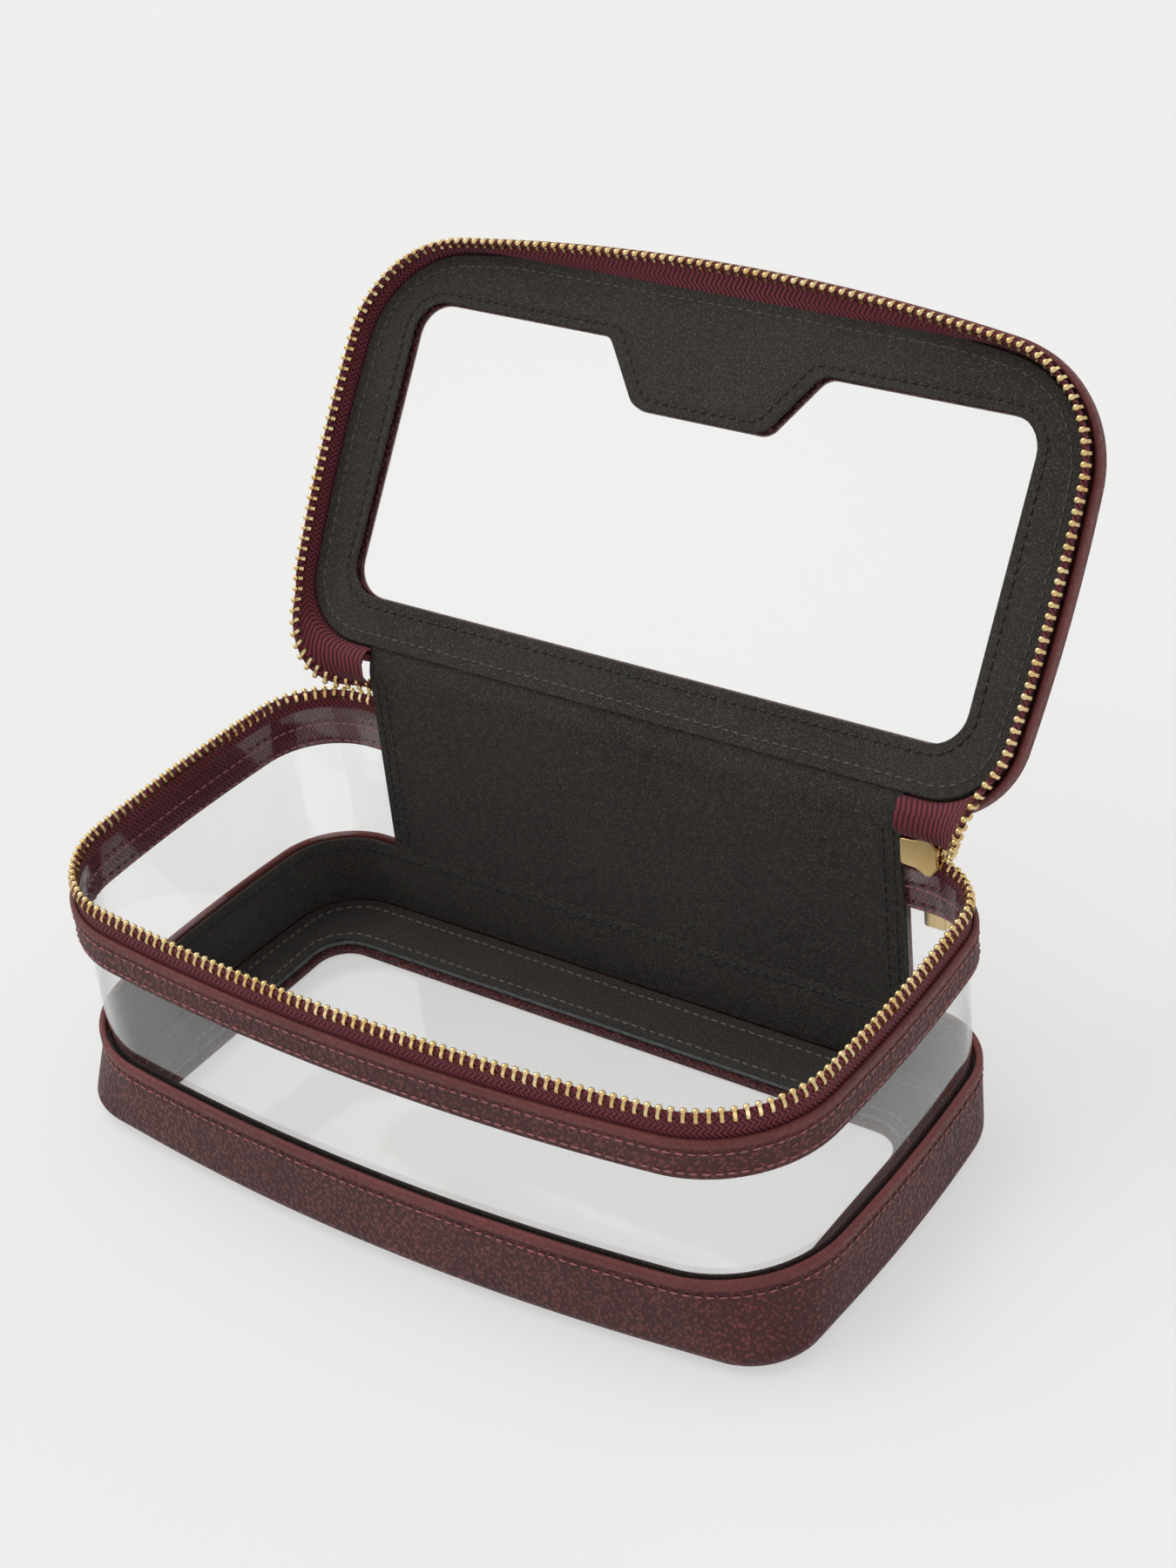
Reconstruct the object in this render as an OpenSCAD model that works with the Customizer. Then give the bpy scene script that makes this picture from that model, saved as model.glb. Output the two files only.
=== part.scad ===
// Clear-walled make-up case with a zipped, hinged lid.
// The case is drawn closed, the lid is then turned open about its hinge, and all of it is
// moved so that the origin lies on the table under the middle of the open case.

/* [Case] */
// Overall width, across the front
case_w = 200; // [185:1:230]
// Overall depth, front to back, with the lid closed
case_d = 109; // [100:1:124]
// Radius of the two front corners, seen from above
front_corner_r = 30; // [25:1:34]
// Radius of the two back corners, seen from above
back_corner_r = 20; // [18:1:26]
// How far the front bows out past a straight line between its corners
front_bow = 4.5; // [1:0.5:6]
// Radius of the gentle curve of each side
side_r = 440; // [300:10:900]

/* [Heights] */
// Top of the leather skirt
skirt_top = 23; // [19:1:29]
// Bottom of the leather band round the rim
band_bottom = 50; // [44:1:52]
// Height of the leather band, without its rolled edge
band_h = 8; // [7:0.5:10]
// Height of the plane where the two rows of zip teeth meet
zip_z = 67; // [65:0.5:70]
// Rounding of the skirt's bottom edge
skirt_edge_r = 7; // [5:0.5:9]

/* [Sheets] */
// Thickness of the leather
leather_t = 1.4; // [1:0.1:1.6]
// Thickness of the clear vinyl
vinyl_t = 0.6; // [0.4:0.1:0.8]
// Thickness of the twill lining
lining_t = 0.8; // [0.5:0.1:1]
// Thickness of the stiffening board under the lining
board_t = 1; // [0.6:0.1:1.4]
// Thickness of the woven zip tape
tape_t = 0.6; // [0.5:0.05:0.7]

/* [Back panel] */
// From where each back corner starts to bend to the panel's side edge
panel_gap = 5.2; // [5:0.1:12]
// How far the clear wall is tucked in behind the panel
wall_tuck = 6; // [4:0.5:10]

/* [Windows] */
// Width of the lid's frame at the window's sides
lid_frame_side = 16.5; // [14:0.5:24]
// Width of the lid's frame in front of the window
lid_frame_front = 21; // [18:0.5:28]
// Width of the lid's frame behind the window
lid_frame_back = 15.5; // [13:0.5:24]
// Width of the tab in the lid's front rail, where it meets the rail
tab_root_w = 58; // [50:1:64]
// Width of the tab at its free edge
tab_tip_w = 36; // [26:1:44]
// How far the tab reaches into the window
tab_reach = 15.5; // [10:0.5:20]
// Width of the base's frame at the window's sides
base_frame_side = 18; // [16:0.5:26]
// Width of the base's frame in front of the window
base_frame_front = 15.5; // [14:0.5:22]
// Width of the base's frame behind the window
base_frame_back = 21; // [18:0.5:28]
// Corner radius of both windows
window_r = 8; // [5:0.5:9]

/* [Zip] */
// Distance from one tooth to the next
tooth_pitch = 2.5; // [2.4:0.1:3]
// Width of a tooth along the tape
tooth_w = 1; // [0.8:0.05:1.1]
// Thickness of a tooth through the tape
tooth_t = 2.8; // [2.4:0.1:3]
// Radius of the cord woven into the tape's edge
cord_r = 0.65; // [0.5:0.05:0.7]
// Length of the slider
slider_l = 9.2; // [8:0.1:9.4]
// Height of the slider's wide end
slider_h = 10.8; // [8:0.2:11]
// Length of the pull tab
tab_l = 18; // [14:1:28]
// Width of the pull tab
tab_w = 5.6; // [4.5:0.1:7]
// Thickness of the pull tab
tab_t = 3; // [2:0.1:3.5]

/* [Lid] */
// How far the lid stands open, from closed
lid_open = 125; // [95:1:135]

/* [Hidden] */
$fn = 48;

BURGUNDY = "#5a2a2e";
SMOOTH_BURGUNDY = "#6b342f";
BLACK = "#2b2927";
GOLD = "#d8b765";
CLEAR = [0.9, 0.95, 0.95, 0.35];
BOARD = "#8c7f6d";

clearance = 0.3;          // between pieces that move past each other
sewn_margin = 6;          // a window sheet's overlap with its frame
board_margin = 1.4;       // how far the base's board stops short of its lining
lid_rise = 6.2;           // from the meeting plane of the teeth up to the lid's lining
lid_lip = 0.8;            // how far the lid's rolled edge hangs below its lining
lid_lining_gap = 1.7;     // from the lid's zip tape, at its cord, to the edge of its lining
tape_lean = 1.4;          // how far the lid's tape leans in, from its cord to its top
hinge_drop = 3.6;         // from the hinge's axis down to the panel's top edge
tape_hold = 6;            // how far round each back corner the lid still holds its tape
tape_ease = 0.05;         // slack between the lid's tape and its rolled edge
slider_ease = 0.4;        // running room of the teeth in the slider's channel
slider_gap = 0.4;         // from the panel's edge to the slider
lining_reveal = 1.5;      // strip of leather seen inside each lining frame
binding_proud = 0.2;      // how far a rolled edge stands out
binding_h = 2.6;          // height of the rolled edges
half_w = case_w / 2;
half_d = case_d / 2;

// Layers of the wall, as distances in from the outer face
tape_in = leather_t;
vinyl_in = tape_in + tape_t;
lining_in = vinyl_in + vinyl_t;
wall_in = lining_in + lining_t;

// Heights of the zip
cord_gap = 1.9;                       // from the meeting plane to each cord's centre
head_short = 0.15;                    // how far each row's heads stop short of the meeting plane
leg_l = 1.5;                          // how far a tooth's legs reach past the cord's centre
cord_case_z = zip_z - cord_gap;
cord_lid_z = zip_z + cord_gap;
band_top = band_bottom + band_h;
wall_top = zip_z - slider_h / 2 - clearance;

// Layers of the lid, closed, from its lining up
lid_lining_z = zip_z + lid_rise;
lid_board_z = lid_lining_z + lining_t;
lid_sheet_z = lid_board_z + board_t;
lid_leather_z = lid_sheet_z + vinyl_t;
lid_top_z = lid_leather_z + leather_t;

// Hinge
// The axis lies in the middle of the lid's leather, which bends there
hinge_y = half_d - leather_t / 2;
hinge_z = lid_leather_z + leather_t / 2;
panel_top = hinge_z - hinge_drop;
lid_notch = 0.6;                      // the lid's leather stops this far short of the axis
lid_lining_in = vinyl_in + lid_lining_gap;
lid_edge_z = lid_lining_z - lid_lip;  // bottom of the lid's rolled edge

// The origin is under the middle of the open case
lid_reach = half_d + binding_proud + hinge_y;
lid_back = hinge_y - lid_reach * cos(lid_open) + (lid_top_z - hinge_z) * sin(lid_open);
case_y = -(lid_back - half_d - binding_proud) / 2;

// Plan outline: arcs that run into each other, right half
function unit(a) = [cos(a), sin(a)];
side_c = [half_w - side_r, 0];
back_turn = asin((half_d - back_corner_r) / (side_r - back_corner_r));
back_c = side_c + (side_r - back_corner_r) * unit(back_turn);
front_turn = asin((half_d - front_corner_r - front_bow) / (side_r - front_corner_r));
front_c = side_c + (side_r - front_corner_r) * unit(-front_turn);
bow_turn = 2 * atan(front_bow / front_c.x);
bow_r = front_corner_r + front_c.x / sin(bow_turn);
bow_c = [0, bow_r - half_d];

panel_w = 2 * (back_c.x - panel_gap);

// Stations round the case: [x, y, outward direction]
function arc_stations(c, r, a0, a1, n, first = 1) =
    [for (i = [first:n]) let (a = a0 + (a1 - a0) * i / n) [c.x + r * cos(a), c.y + r * sin(a), a]];
function flip(stations) =
    [for (i = [len(stations) - 1:-1:0]) [-stations[i].x, stations[i].y, 180 - stations[i].z]];
function right_side(turn) = concat(
    arc_stations(front_c, front_corner_r, -90 + bow_turn, -front_turn, 12),
    arc_stations(side_c, side_r, -front_turn, back_turn, 6),
    arc_stations(back_c, back_corner_r, back_turn, turn, 12));
front_stations = arc_stations(bow_c, bow_r, -90 - bow_turn, -90 + bow_turn, 10, 0);
function mirrored_ends(right) = concat(flip(right), front_stations, right);
ring = mirrored_ends(right_side(90));
// Open at the back, where the hinge panel is
function ring_to(x_end) = mirrored_ends(concat(right_side(90), [[x_end, half_d, 90]]));
function lifted(stations, o) =
    [for (s = stations) [s.x + o * cos(s.z), s.y + o * sin(s.z)]];
function outline(o) = lifted(ring, o);

// The slider stands just past the panel, on the straight stretch of the back
slider_x = panel_w / 2 + slider_gap + slider_l / 2;
slider_travel = 1.2;

// A polygon with every corner rounded to its own radius
function rounded(points, radii, n = 6) = [
    for (i = [0:len(points) - 1])
        let (
            p = points[i],
            a = points[(i + len(points) - 1) % len(points)] - p,
            b = points[(i + 1) % len(points)] - p,
            ua = a / norm(a),
            ub = b / norm(b),
            half = acos(ua * ub) / 2,
            mid = (ua + ub) / norm(ua + ub),
            c = p + mid * radii[i] / sin(half),
            pa = p + ua * radii[i] / tan(half) - c,
            pb = p + ub * radii[i] / tan(half) - c,
            a0 = atan2(pa.y, pa.x),
            step = atan2(pb.y, pb.x) - a0,
            turn = step > 180 ? step - 360 : (step < -180 ? step + 360 : step)
        )
        for (k = [0:n]) c + radii[i] * unit(a0 + turn * k / n)
];
function window_box(side, front, back, grow) = rounded([
    [side - half_w - grow, front - half_d - grow], [half_w - side + grow, front - half_d - grow],
    [half_w - side + grow, half_d - back + grow], [side - half_w - grow, half_d - back + grow]],
    [for (i = [0:3]) window_r + grow]);
function base_opening(grow) =
    window_box(base_frame_side, base_frame_front, base_frame_back, grow);
function lid_opening(grow) =
    let (
        back = half_d - lid_frame_back + grow,
        front = lid_frame_front - half_d - grow,
        x = half_w - lid_frame_side + grow,
        root = tab_root_w / 2 - grow,
        tip = tab_tip_w / 2 - grow
    )
    rounded(
        [[-x, front], [-root, front], [-tip, front + tab_reach], [tip, front + tab_reach],
         [root, front], [x, front], [x, back], [-x, back]],
        [window_r + grow, 5, 5, 5, 5, window_r + grow, window_r + grow, window_r + grow]);

// A flat frame or sheet between two heights, with an optional opening
module plate(z, t, points, opening = []) {
    translate([0, 0, z]) linear_extrude(t) difference() {
        polygon(points);
        if (len(opening) > 0) polygon(opening);
    }
}

// A window's clear sheet, larger than its opening but kept inside the outline
module window_sheet(z, opening, inset) {
    translate([0, 0, z]) linear_extrude(vinyl_t) intersection() {
        polygon(opening);
        polygon(outline(-inset));
    }
}

// Carries a profile along stations. The profile is [distance out from the outer face, z].
module sweep(stations, profile, closed = false) {
    n = len(stations);
    m = len(profile);
    polyhedron(
        [for (s = stations, q = profile) [s.x + q.x * cos(s.z), s.y + q.x * sin(s.z), q.y]],
        concat(
            [for (k = [0:n - (closed ? 1 : 2)], j = [0:m - 1])
                let (next = (k + 1) % n, side = (j + 1) % m)
                [k * m + side, k * m + j, next * m + j, next * m + side]],
            closed ? [] : [[for (j = [0:m - 1]) j], [for (j = [m - 1:-1:0]) (n - 1) * m + j]]),
        convexity = 6);
}
// A flat-sided strip of the wall between two depths and two heights
module strip(stations, inner, outer, z0, z1, closed = false) {
    translate([0, 0, z0]) linear_extrude(z1 - z0)
        if (closed)
            difference() {
                polygon(lifted(stations, -outer));
                polygon(lifted(stations, -inner));
            }
        else
            polygon(concat(lifted(stations, -outer),
                [for (i = [len(stations) - 1:-1:0]) lifted(stations, -inner)[i]]));
}
function arc_points(c, r, a0, a1, n) =
    [for (i = [0:n]) c + r * unit(a0 + (a1 - a0) * i / n)];
// Section of a strip of leather rolled over an edge, round at its top or at its bottom
function rolled_section(z0, z1, up = true) =
    let (r = (leather_t + binding_proud) / 2, x = binding_proud - r)
    up ? concat([[x - r, z0], [x + r, z0]], arc_points([x, z1 - r], r, 0, 180, 8))
       : concat([[x + r, z1], [x - r, z1]], arc_points([x, z0 + r], r, 180, 360, 8));

module at_rest() translate([0, case_y, 0]) children();
module opened() {
    at_rest() translate([0, hinge_y, hinge_z]) rotate([-lid_open, 0, 0])
        translate([0, -hinge_y, -hinge_z]) children();
}

// ---- Base ----
module base_leather() color(BURGUNDY) at_rest()
    plate(0, leather_t, outline(-skirt_edge_r), base_opening(0));
module base_window() color(CLEAR) at_rest()
    window_sheet(leather_t, base_opening(sewn_margin), skirt_edge_r + clearance);
module base_board() color(BOARD) at_rest()
    plate(leather_t + vinyl_t, board_t, outline(-wall_in - 0.2 - board_margin),
        base_opening(lining_reveal));
module base_lining() color(BLACK) at_rest()
    plate(leather_t + vinyl_t + board_t, lining_t, outline(-wall_in - 0.2),
        base_opening(lining_reveal));

// ---- Skirt ----
skirt_fold_z = skirt_top - binding_h;
lining_z = leather_t + vinyl_t + board_t + lining_t;
// The skirt rounds under the bottom edge and meets the base
skirt_section = concat(
    arc_points([-skirt_edge_r, skirt_edge_r], skirt_edge_r, 270, 360, 8),
    [[0, skirt_fold_z], [-leather_t, skirt_fold_z]],
    arc_points([-skirt_edge_r, skirt_edge_r], skirt_edge_r - leather_t, 360, 270, 8));
module skirt_leather() color(BURGUNDY) at_rest() sweep(ring, skirt_section, true);
module skirt_binding() color(SMOOTH_BURGUNDY) at_rest()
    sweep(ring, rolled_section(skirt_fold_z, skirt_top), true);
module skirt_board() color(BOARD) at_rest()
    strip(ring, vinyl_in, leather_t, skirt_edge_r, skirt_fold_z - 1, true);
module skirt_lining() color(BLACK) at_rest()
    strip(ring, wall_in, lining_in, lining_z, skirt_top - 0.5, true);

// ---- Walls and rim ----
module clear_wall() color(CLEAR) at_rest()
    strip(ring_to(panel_w / 2 - wall_tuck), lining_in, vinyl_in, skirt_edge_r - 1, wall_top);
module rim_band() color(BURGUNDY) at_rest()
    strip(ring_to(panel_w / 2), leather_t, 0, band_bottom, band_top);
module rim_binding() color(SMOOTH_BURGUNDY) at_rest()
    sweep(ring_to(panel_w / 2), rolled_section(band_top, band_top + binding_h));

// ---- Back panel and hinge ----
module panel(depth_in, depth_out, z0, z1) {
    translate([-panel_w / 2, half_d - depth_in, z0])
        cube([panel_w, depth_in - depth_out, z1 - z0]);
}
module back_panel_leather() color(BURGUNDY) at_rest() panel(leather_t, 0, skirt_top, panel_top);
module back_panel_board() color(BOARD) at_rest()
    panel(vinyl_in, leather_t, skirt_top - 0.5, panel_top);
module back_panel_lining() color(BLACK) at_rest()
    panel(wall_in, lining_in, skirt_top - 0.5, panel_top);

// A strip that bends from the panel's top edge round to the lid's back edge. The lid's edge is
// given as seen closed, from the hinge's axis.
module fold_strip(from_y, t, bend, lid_edge) {
    start = [from_y, panel_top];
    end = [hinge_y, hinge_z] + turned(lid_edge, lid_open);
    end_dir = turned([-1, 0], lid_open);
    pull = norm(end - start) * bend;
    steps = 8;
    line = [for (i = [0:steps])
        let (s = i / steps, b1 = start + [0, pull], b2 = end - end_dir * pull)
        pow(1 - s, 3) * start + 3 * pow(1 - s, 2) * s * b1 + 3 * (1 - s) * s * s * b2
            + pow(s, 3) * end];
    across = [for (i = [0:steps])
        let (d = i == 0 ? [0, 1] : (i == steps ? end_dir : line[i + 1] - line[i - 1]))
        [d.y, -d.x] / norm(d)];
    translate([-panel_w / 2, 0, 0]) rotate([90, 0, 90]) linear_extrude(panel_w)
        polygon(concat([for (i = [0:steps]) line[i] - across[i] * t / 2],
            [for (i = [steps:-1:0]) line[i] + across[i] * t / 2]));
}
// A point [y, z] from the hinge's axis, turned back by an angle
function turned(p, a) = [p.x * cos(a) + p.y * sin(a), p.y * cos(a) - p.x * sin(a)];
module hinge_fold() color(BURGUNDY) at_rest()
    fold_strip(half_d - leather_t / 2, leather_t, 0.3, [-lid_notch, 0]);
module hinge_lining() color(BLACK) at_rest()
    fold_strip(half_d - wall_in + lining_t / 2, lining_t, 0.3,
        [half_d - lid_lining_in - hinge_y, lid_lining_z + lining_t / 2 - hinge_z]);

// ---- Lid ----
module lid_leather() color(BURGUNDY) opened() difference() {
    plate(lid_leather_z, leather_t, outline(0), lid_opening(0));
    translate([-panel_w / 2, hinge_y - lid_notch, lid_leather_z - 1])
        cube([panel_w, 10, leather_t + 2]);
}
module lid_window() color(CLEAR) opened()
    window_sheet(lid_sheet_z,
        window_box(lid_frame_side, lid_frame_front, lid_frame_back, sewn_margin), lid_lining_in);
module lid_board() color(BOARD) opened()
    plate(lid_board_z, board_t, outline(-lid_lining_in), lid_opening(lining_reveal));
module lid_lining() color(BLACK) opened()
    plate(lid_lining_z, lining_t, outline(-lid_lining_in), lid_opening(lining_reveal));
module lid_binding() color(SMOOTH_BURGUNDY) opened()
    sweep(ring_to(panel_w / 2), rolled_section(lid_edge_z, lid_leather_z, false));

// ---- Zip tape ----
// The tape stands between the leather and the vinyl, with a cord along its edge
tape_mid = (tape_in + vinyl_in) / 2;
function bead(z, flat) =
    let (grip = asin(tape_t / 2 / cord_r))
    arc_points([-tape_mid, z], cord_r, flat + grip, flat + 360 - grip, 8);
case_tape = concat(bead(cord_case_z, -90),
    [for (x = [-vinyl_in, -tape_in]) [x, band_bottom + 1]]);
// The lid's tape leans in on its way up from the cord
function leaning(d, z) =
    [-d - tape_lean * (z - cord_lid_z) / (lid_leather_z - cord_lid_z), z];
lid_tape = concat(bead(cord_lid_z, 90),
    [leaning(tape_in + tape_ease, lid_leather_z), leaning(vinyl_in, lid_leather_z)]);
lid_tape_end = concat(bead(cord_lid_z, 90), [
    leaning(tape_in + tape_ease, lid_edge_z), leaning(tape_in + tape_ease, lid_leather_z),
    leaning(vinyl_in, lid_leather_z), leaning(vinyl_in, lid_edge_z)]);
module zip_tape_case() color(BURGUNDY) at_rest() sweep(ring_to(panel_w / 2), case_tape);
module zip_tape_lid() color(BURGUNDY) opened() sweep(mirrored_ends(lid_side), lid_tape);
// The lid's tape leaves the lid at each end and comes down to the case, beside the panel. Each
// of its points is turned only part of the way open: not at all where the rows meet.
flex_steps = 16;
function smooth(t) = let (c = max(0, min(1, t))) c * c * (3 - 2 * c);
// The share of the lid's turn that a point takes, by its distance along the row and its height
function share(s, z, meet) =
    1 - smooth((s - flex_start) / (meet - flex_start))
        * smooth((lid_edge_z - z) / (lid_edge_z - cord_lid_z - cord_r));
function flexed(p, a) =
    let (q = turned([p.y - hinge_y, p.z - hinge_z], a)) [p.x, hinge_y + q.x, hinge_z + q.y];
module tape_end(meet) {
    end = row_length(panel_w / 2);
    m = len(lid_tape_end);
    points = [for (i = [0:flex_steps], q = lid_tape_end)
        let (along = flex_start + (end - flex_start) * i / flex_steps, s = station(along))
        flexed([s.x + q.x * cos(s.z), s.y + q.x * sin(s.z), q.y],
            lid_open * share(along, q.y, meet))];
    polyhedron(points, concat(
        [for (k = [0:flex_steps - 1], j = [0:m - 1], half = [0, 1])
            let (side = (j + 1) % m, a = k * m, b = (k + 1) * m)
            half == 0 ? [a + side, a + j, b + j] : [a + side, b + j, b + side]],
        [[for (j = [0:m - 1]) j], [for (j = [m - 1:-1:0]) flex_steps * m + j]]), convexity = 6);
}
module zip_tape_hinge_ends() color(BURGUNDY) at_rest() {
    tape_end(meet_right);
    mirror([1, 0, 0]) tape_end(meet_left);
}

// ---- Zip teeth ----
// The row runs along the tape's middle line: from the middle of the front, round to the back
row_arcs = [
    [bow_c, bow_r - tape_mid, -90, bow_turn],
    [front_c, front_corner_r - tape_mid, -90 + bow_turn, 90 - front_turn - bow_turn],
    [side_c, side_r - tape_mid, -front_turn, front_turn + back_turn],
    [back_c, back_corner_r - tape_mid, back_turn, 90 - back_turn]];
function row_at_x(x) =
    x <= back_c.x ? row_length(x)
        : round_l - (back_corner_r - tape_mid) * asin((x - back_c.x) / (back_corner_r - tape_mid))
            * PI / 180;
function arc_l(i) = row_arcs[i][1] * row_arcs[i][3] * PI / 180;
function before(i) = i == 0 ? 0 : before(i - 1) + arc_l(i - 1);
round_l = before(len(row_arcs));
// [x, y, outward direction] at a distance from the middle of the front
function row_place(s) =
    s >= round_l ? [back_c.x - (s - round_l), half_d - tape_mid, 90] :
    let (
        i = max([for (k = [0:len(row_arcs) - 1]) if (s >= before(k)) k]),
        a = row_arcs[i][2] + (s - before(i)) / row_arcs[i][1] * 180 / PI,
        p = row_arcs[i][0] + row_arcs[i][1] * unit(a)
    ) [p.x, p.y, a];
function row_length(x_end) = round_l + back_c.x - x_end;
// The same place on the outer face
function station(s) =
    let (p = row_place(s)) [p.x + tape_mid * cos(p.z), p.y + tape_mid * sin(p.z), p.z];
// Half-way between two teeth
flex_start = tooth_pitch * round((before(3) + tape_hold) / tooth_pitch);
lid_side = concat(
    arc_stations(front_c, front_corner_r, -90 + bow_turn, -front_turn, 12),
    [for (i = [1:6]) station(before(2) + arc_l(2) * i / 6)],
    [for (i = [1:3]) station(before(3) + (flex_start - before(3)) * i / 3)]);
slider_end_x = slider_x + slider_l / 2;
// Where the two rows meet, at the slider and at the far end
meet_right = row_at_x(slider_end_x);
meet_left = row_at_x(panel_w / 2 + 2);

// One tooth seen along the tape: two legs that grip the cord, and a head. y is 0 at the cord.
tip = cord_gap - head_short;
slot_turn = asin(tape_t / 2 / cord_r);
tooth_outline = concat(
    [[tape_t / 2, -leg_l], [tooth_t / 2, -leg_l], [tooth_t / 2, 0.3], [0.75, 0.9],
     [0.75, tip - 0.3], [0.4, tip], [-0.4, tip], [-0.75, tip - 0.3],
     [-0.75, 0.9], [-tooth_t / 2, 0.3], [-tooth_t / 2, -leg_l], [-tape_t / 2, -leg_l]],
    arc_points([0, 0], cord_r, 270 - slot_turn, -90 + slot_turn, 3));
module tooth_at(s, cord_z, up) {
    place = row_place(s);
    translate([place.x, place.y, cord_z])
        rotate([up ? 90 : -90, 0, place.z]) translate([0, 0, -tooth_w / 2])
            linear_extrude(tooth_w) polygon(tooth_outline);
}
// Every tooth between two distances; the lid's row is half a pitch on from the case's
module row(from, to, shift, cord_z, up) {
    for (k = [0:floor((to - shift) / tooth_pitch)]) {
        s = k * tooth_pitch + shift;
        if (s >= from && s <= to) {
            tooth_at(s, cord_z, up);
            if (s > 0) mirror([1, 0, 0]) tooth_at(s, cord_z, up);
        }
    }
}
// The last teeth of the lid's row, each turned only part of the way open
module flexed_row(meet, end) {
    first = ceil((flex_start - tooth_pitch / 2) / tooth_pitch);
    for (k = [first:floor((end - tooth_pitch / 2) / tooth_pitch)]) {
        s = (k + 0.5) * tooth_pitch;
        a = lid_open * share(s, cord_lid_z + cord_r - 1, meet);
        translate([0, hinge_y, hinge_z]) rotate([-a, 0, 0])
            translate([0, -hinge_y, -hinge_z]) tooth_at(s, cord_lid_z, false);
    }
}
module zip_teeth_case() color(GOLD) at_rest() {
    row(0, row_at_x(slider_end_x + slider_travel + 0.8), 0, cord_case_z, true);
    for (k = [ceil(row_at_x(slider_end_x) / tooth_pitch):floor(meet_left / tooth_pitch)])
        mirror([1, 0, 0]) tooth_at(k * tooth_pitch, cord_case_z, true);
}
module zip_teeth_lid() color(GOLD) opened()
    row(0, flex_start, tooth_pitch / 2, cord_lid_z, false);
module zip_teeth_hinge_ends() color(GOLD) at_rest() {
    flexed_row(meet_right, meet_right);
    mirror([1, 0, 0]) flexed_row(meet_left, meet_left);
}

// ---- Slider and pull ----
plate_t = 0.9;
channel_t = tooth_t + 2 * slider_ease;
slider_y = half_d - tape_mid;
// A wing of the slider: waisted, wide at the nose
module wing_outline() {
    h = slider_h / 2;
    l = slider_l / 2;
    polygon(rounded([
        [-l, -h * 0.62], [-l * 0.2, -h * 0.66], [l * 0.5, -h], [l, -h * 0.45],
        [l, h * 0.45], [l * 0.5, h], [-l * 0.2, h * 0.66], [-l, h * 0.62]],
        [0.6, 4, 1.4, 1.2, 1.2, 1.4, 4, 0.6]));
}
module on_slider(y) {
    at_rest() translate([slider_x, slider_y + y, zip_z]) rotate([90, 0, 0]) children();
}
module slider_body() color(GOLD) {
    on_slider(channel_t / 2 + plate_t) linear_extrude(plate_t) wing_outline();
    on_slider(-channel_t / 2) linear_extrude(plate_t) wing_outline();
    // The post at the nose that parts the two rows
    on_slider(channel_t / 2 + 0.1) linear_extrude(channel_t + 0.2) polygon(
        [[slider_l / 2 - 3.2, 0], [slider_l / 2 - 1.4, -1], [slider_l / 2 - 0.6, 0],
         [slider_l / 2 - 1.4, 1]]);
}
// Axis of the crown's bar, which the link hangs from
crown_reach = 3.1;
bar_r = 0.6;
crown_y = slider_y + channel_t / 2 + plate_t;
bar_y = crown_y + crown_reach - bar_r;
crown_half = 2.4;
post_w = 1.2;
module slider_crown() color(GOLD) at_rest() {
    translate([slider_x - crown_half, bar_y, zip_z]) rotate([0, 90, 0])
        cylinder(r = bar_r, h = 2 * crown_half);
    for (side = [-1, 1])
        translate([slider_x + side * (crown_half + post_w / 2 - 0.1) - post_w / 2, crown_y, zip_z])
            rotate([0, 90, 0]) linear_extrude(post_w) {
                translate([-0.9, 0]) square([1.8, crown_reach - 0.9]);
                translate([0, crown_reach - 0.9]) circle(0.9);
            }
}
// The link is a flat ring that hangs on the crown's bar and carries the tab at its foot
link_t = 1.4;
link_wire = 1;
link_l = 5.6;
tongue_t = 1.5;
link_in = tongue_t / 2 + clearance;
foot_z = zip_z - link_l;
hole_r = 1.15;
module pull_link() color(GOLD) at_rest()
    translate([slider_x - link_t / 2, bar_y, 0]) rotate([90, 0, 90]) linear_extrude(link_t) {
        top = zip_z + bar_r + clearance;
        low = foot_z + link_wire / 2;
        difference() {
            polygon(rounded(link_box(link_wire, low, top), [1.4, 1.4, 1.4, 1.4]));
            polygon(rounded(link_box(0, low, top), [0.4, 0.4, 0.4, 0.4]));
        }
    }
function link_box(grow, low, top) = [
    [-link_in - grow, low - grow], [link_in + grow, low - grow],
    [link_in + grow, top + grow], [-link_in - grow, top + grow]];
// The tab is a thick bar with a thinner round tongue that the link passes through
tongue_r = 2.1;
tongue_l = 3.4;
module pull_tab() color(GOLD) at_rest() translate([slider_x, bar_y, foot_z]) rotate([90, 0, 0]) {
    translate([0, 0, -tongue_t / 2]) linear_extrude(tongue_t) difference() {
        union() {
            circle(tongue_r);
            translate([-tongue_r, -tongue_l - 0.5]) square([2 * tongue_r, tongue_l + 0.5]);
        }
        circle(hole_r);
    }
    translate([0, 0, -tab_t / 2]) linear_extrude(tab_t) polygon(rounded(
        [[-tab_w / 2, -tab_l], [tab_w / 2, -tab_l], [tab_w / 2, -tongue_l], [-tab_w / 2, -tongue_l]],
        [0.6, 0.6, 1, 1]));
}

base_leather();
base_window();
base_board();
base_lining();
skirt_leather();
skirt_binding();
skirt_board();
skirt_lining();
clear_wall();
rim_band();
rim_binding();
zip_tape_case();
zip_teeth_case();
back_panel_leather();
back_panel_board();
back_panel_lining();
hinge_fold();
hinge_lining();
lid_leather();
lid_window();
lid_board();
lid_lining();
lid_binding();
zip_tape_lid();
zip_teeth_lid();
zip_tape_hinge_ends();
zip_teeth_hinge_ends();
slider_body();
slider_crown();
pull_link();
pull_tab();
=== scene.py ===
import math

import bmesh
import bpy
import numpy as np
from mathutils import Matrix, Vector


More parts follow.
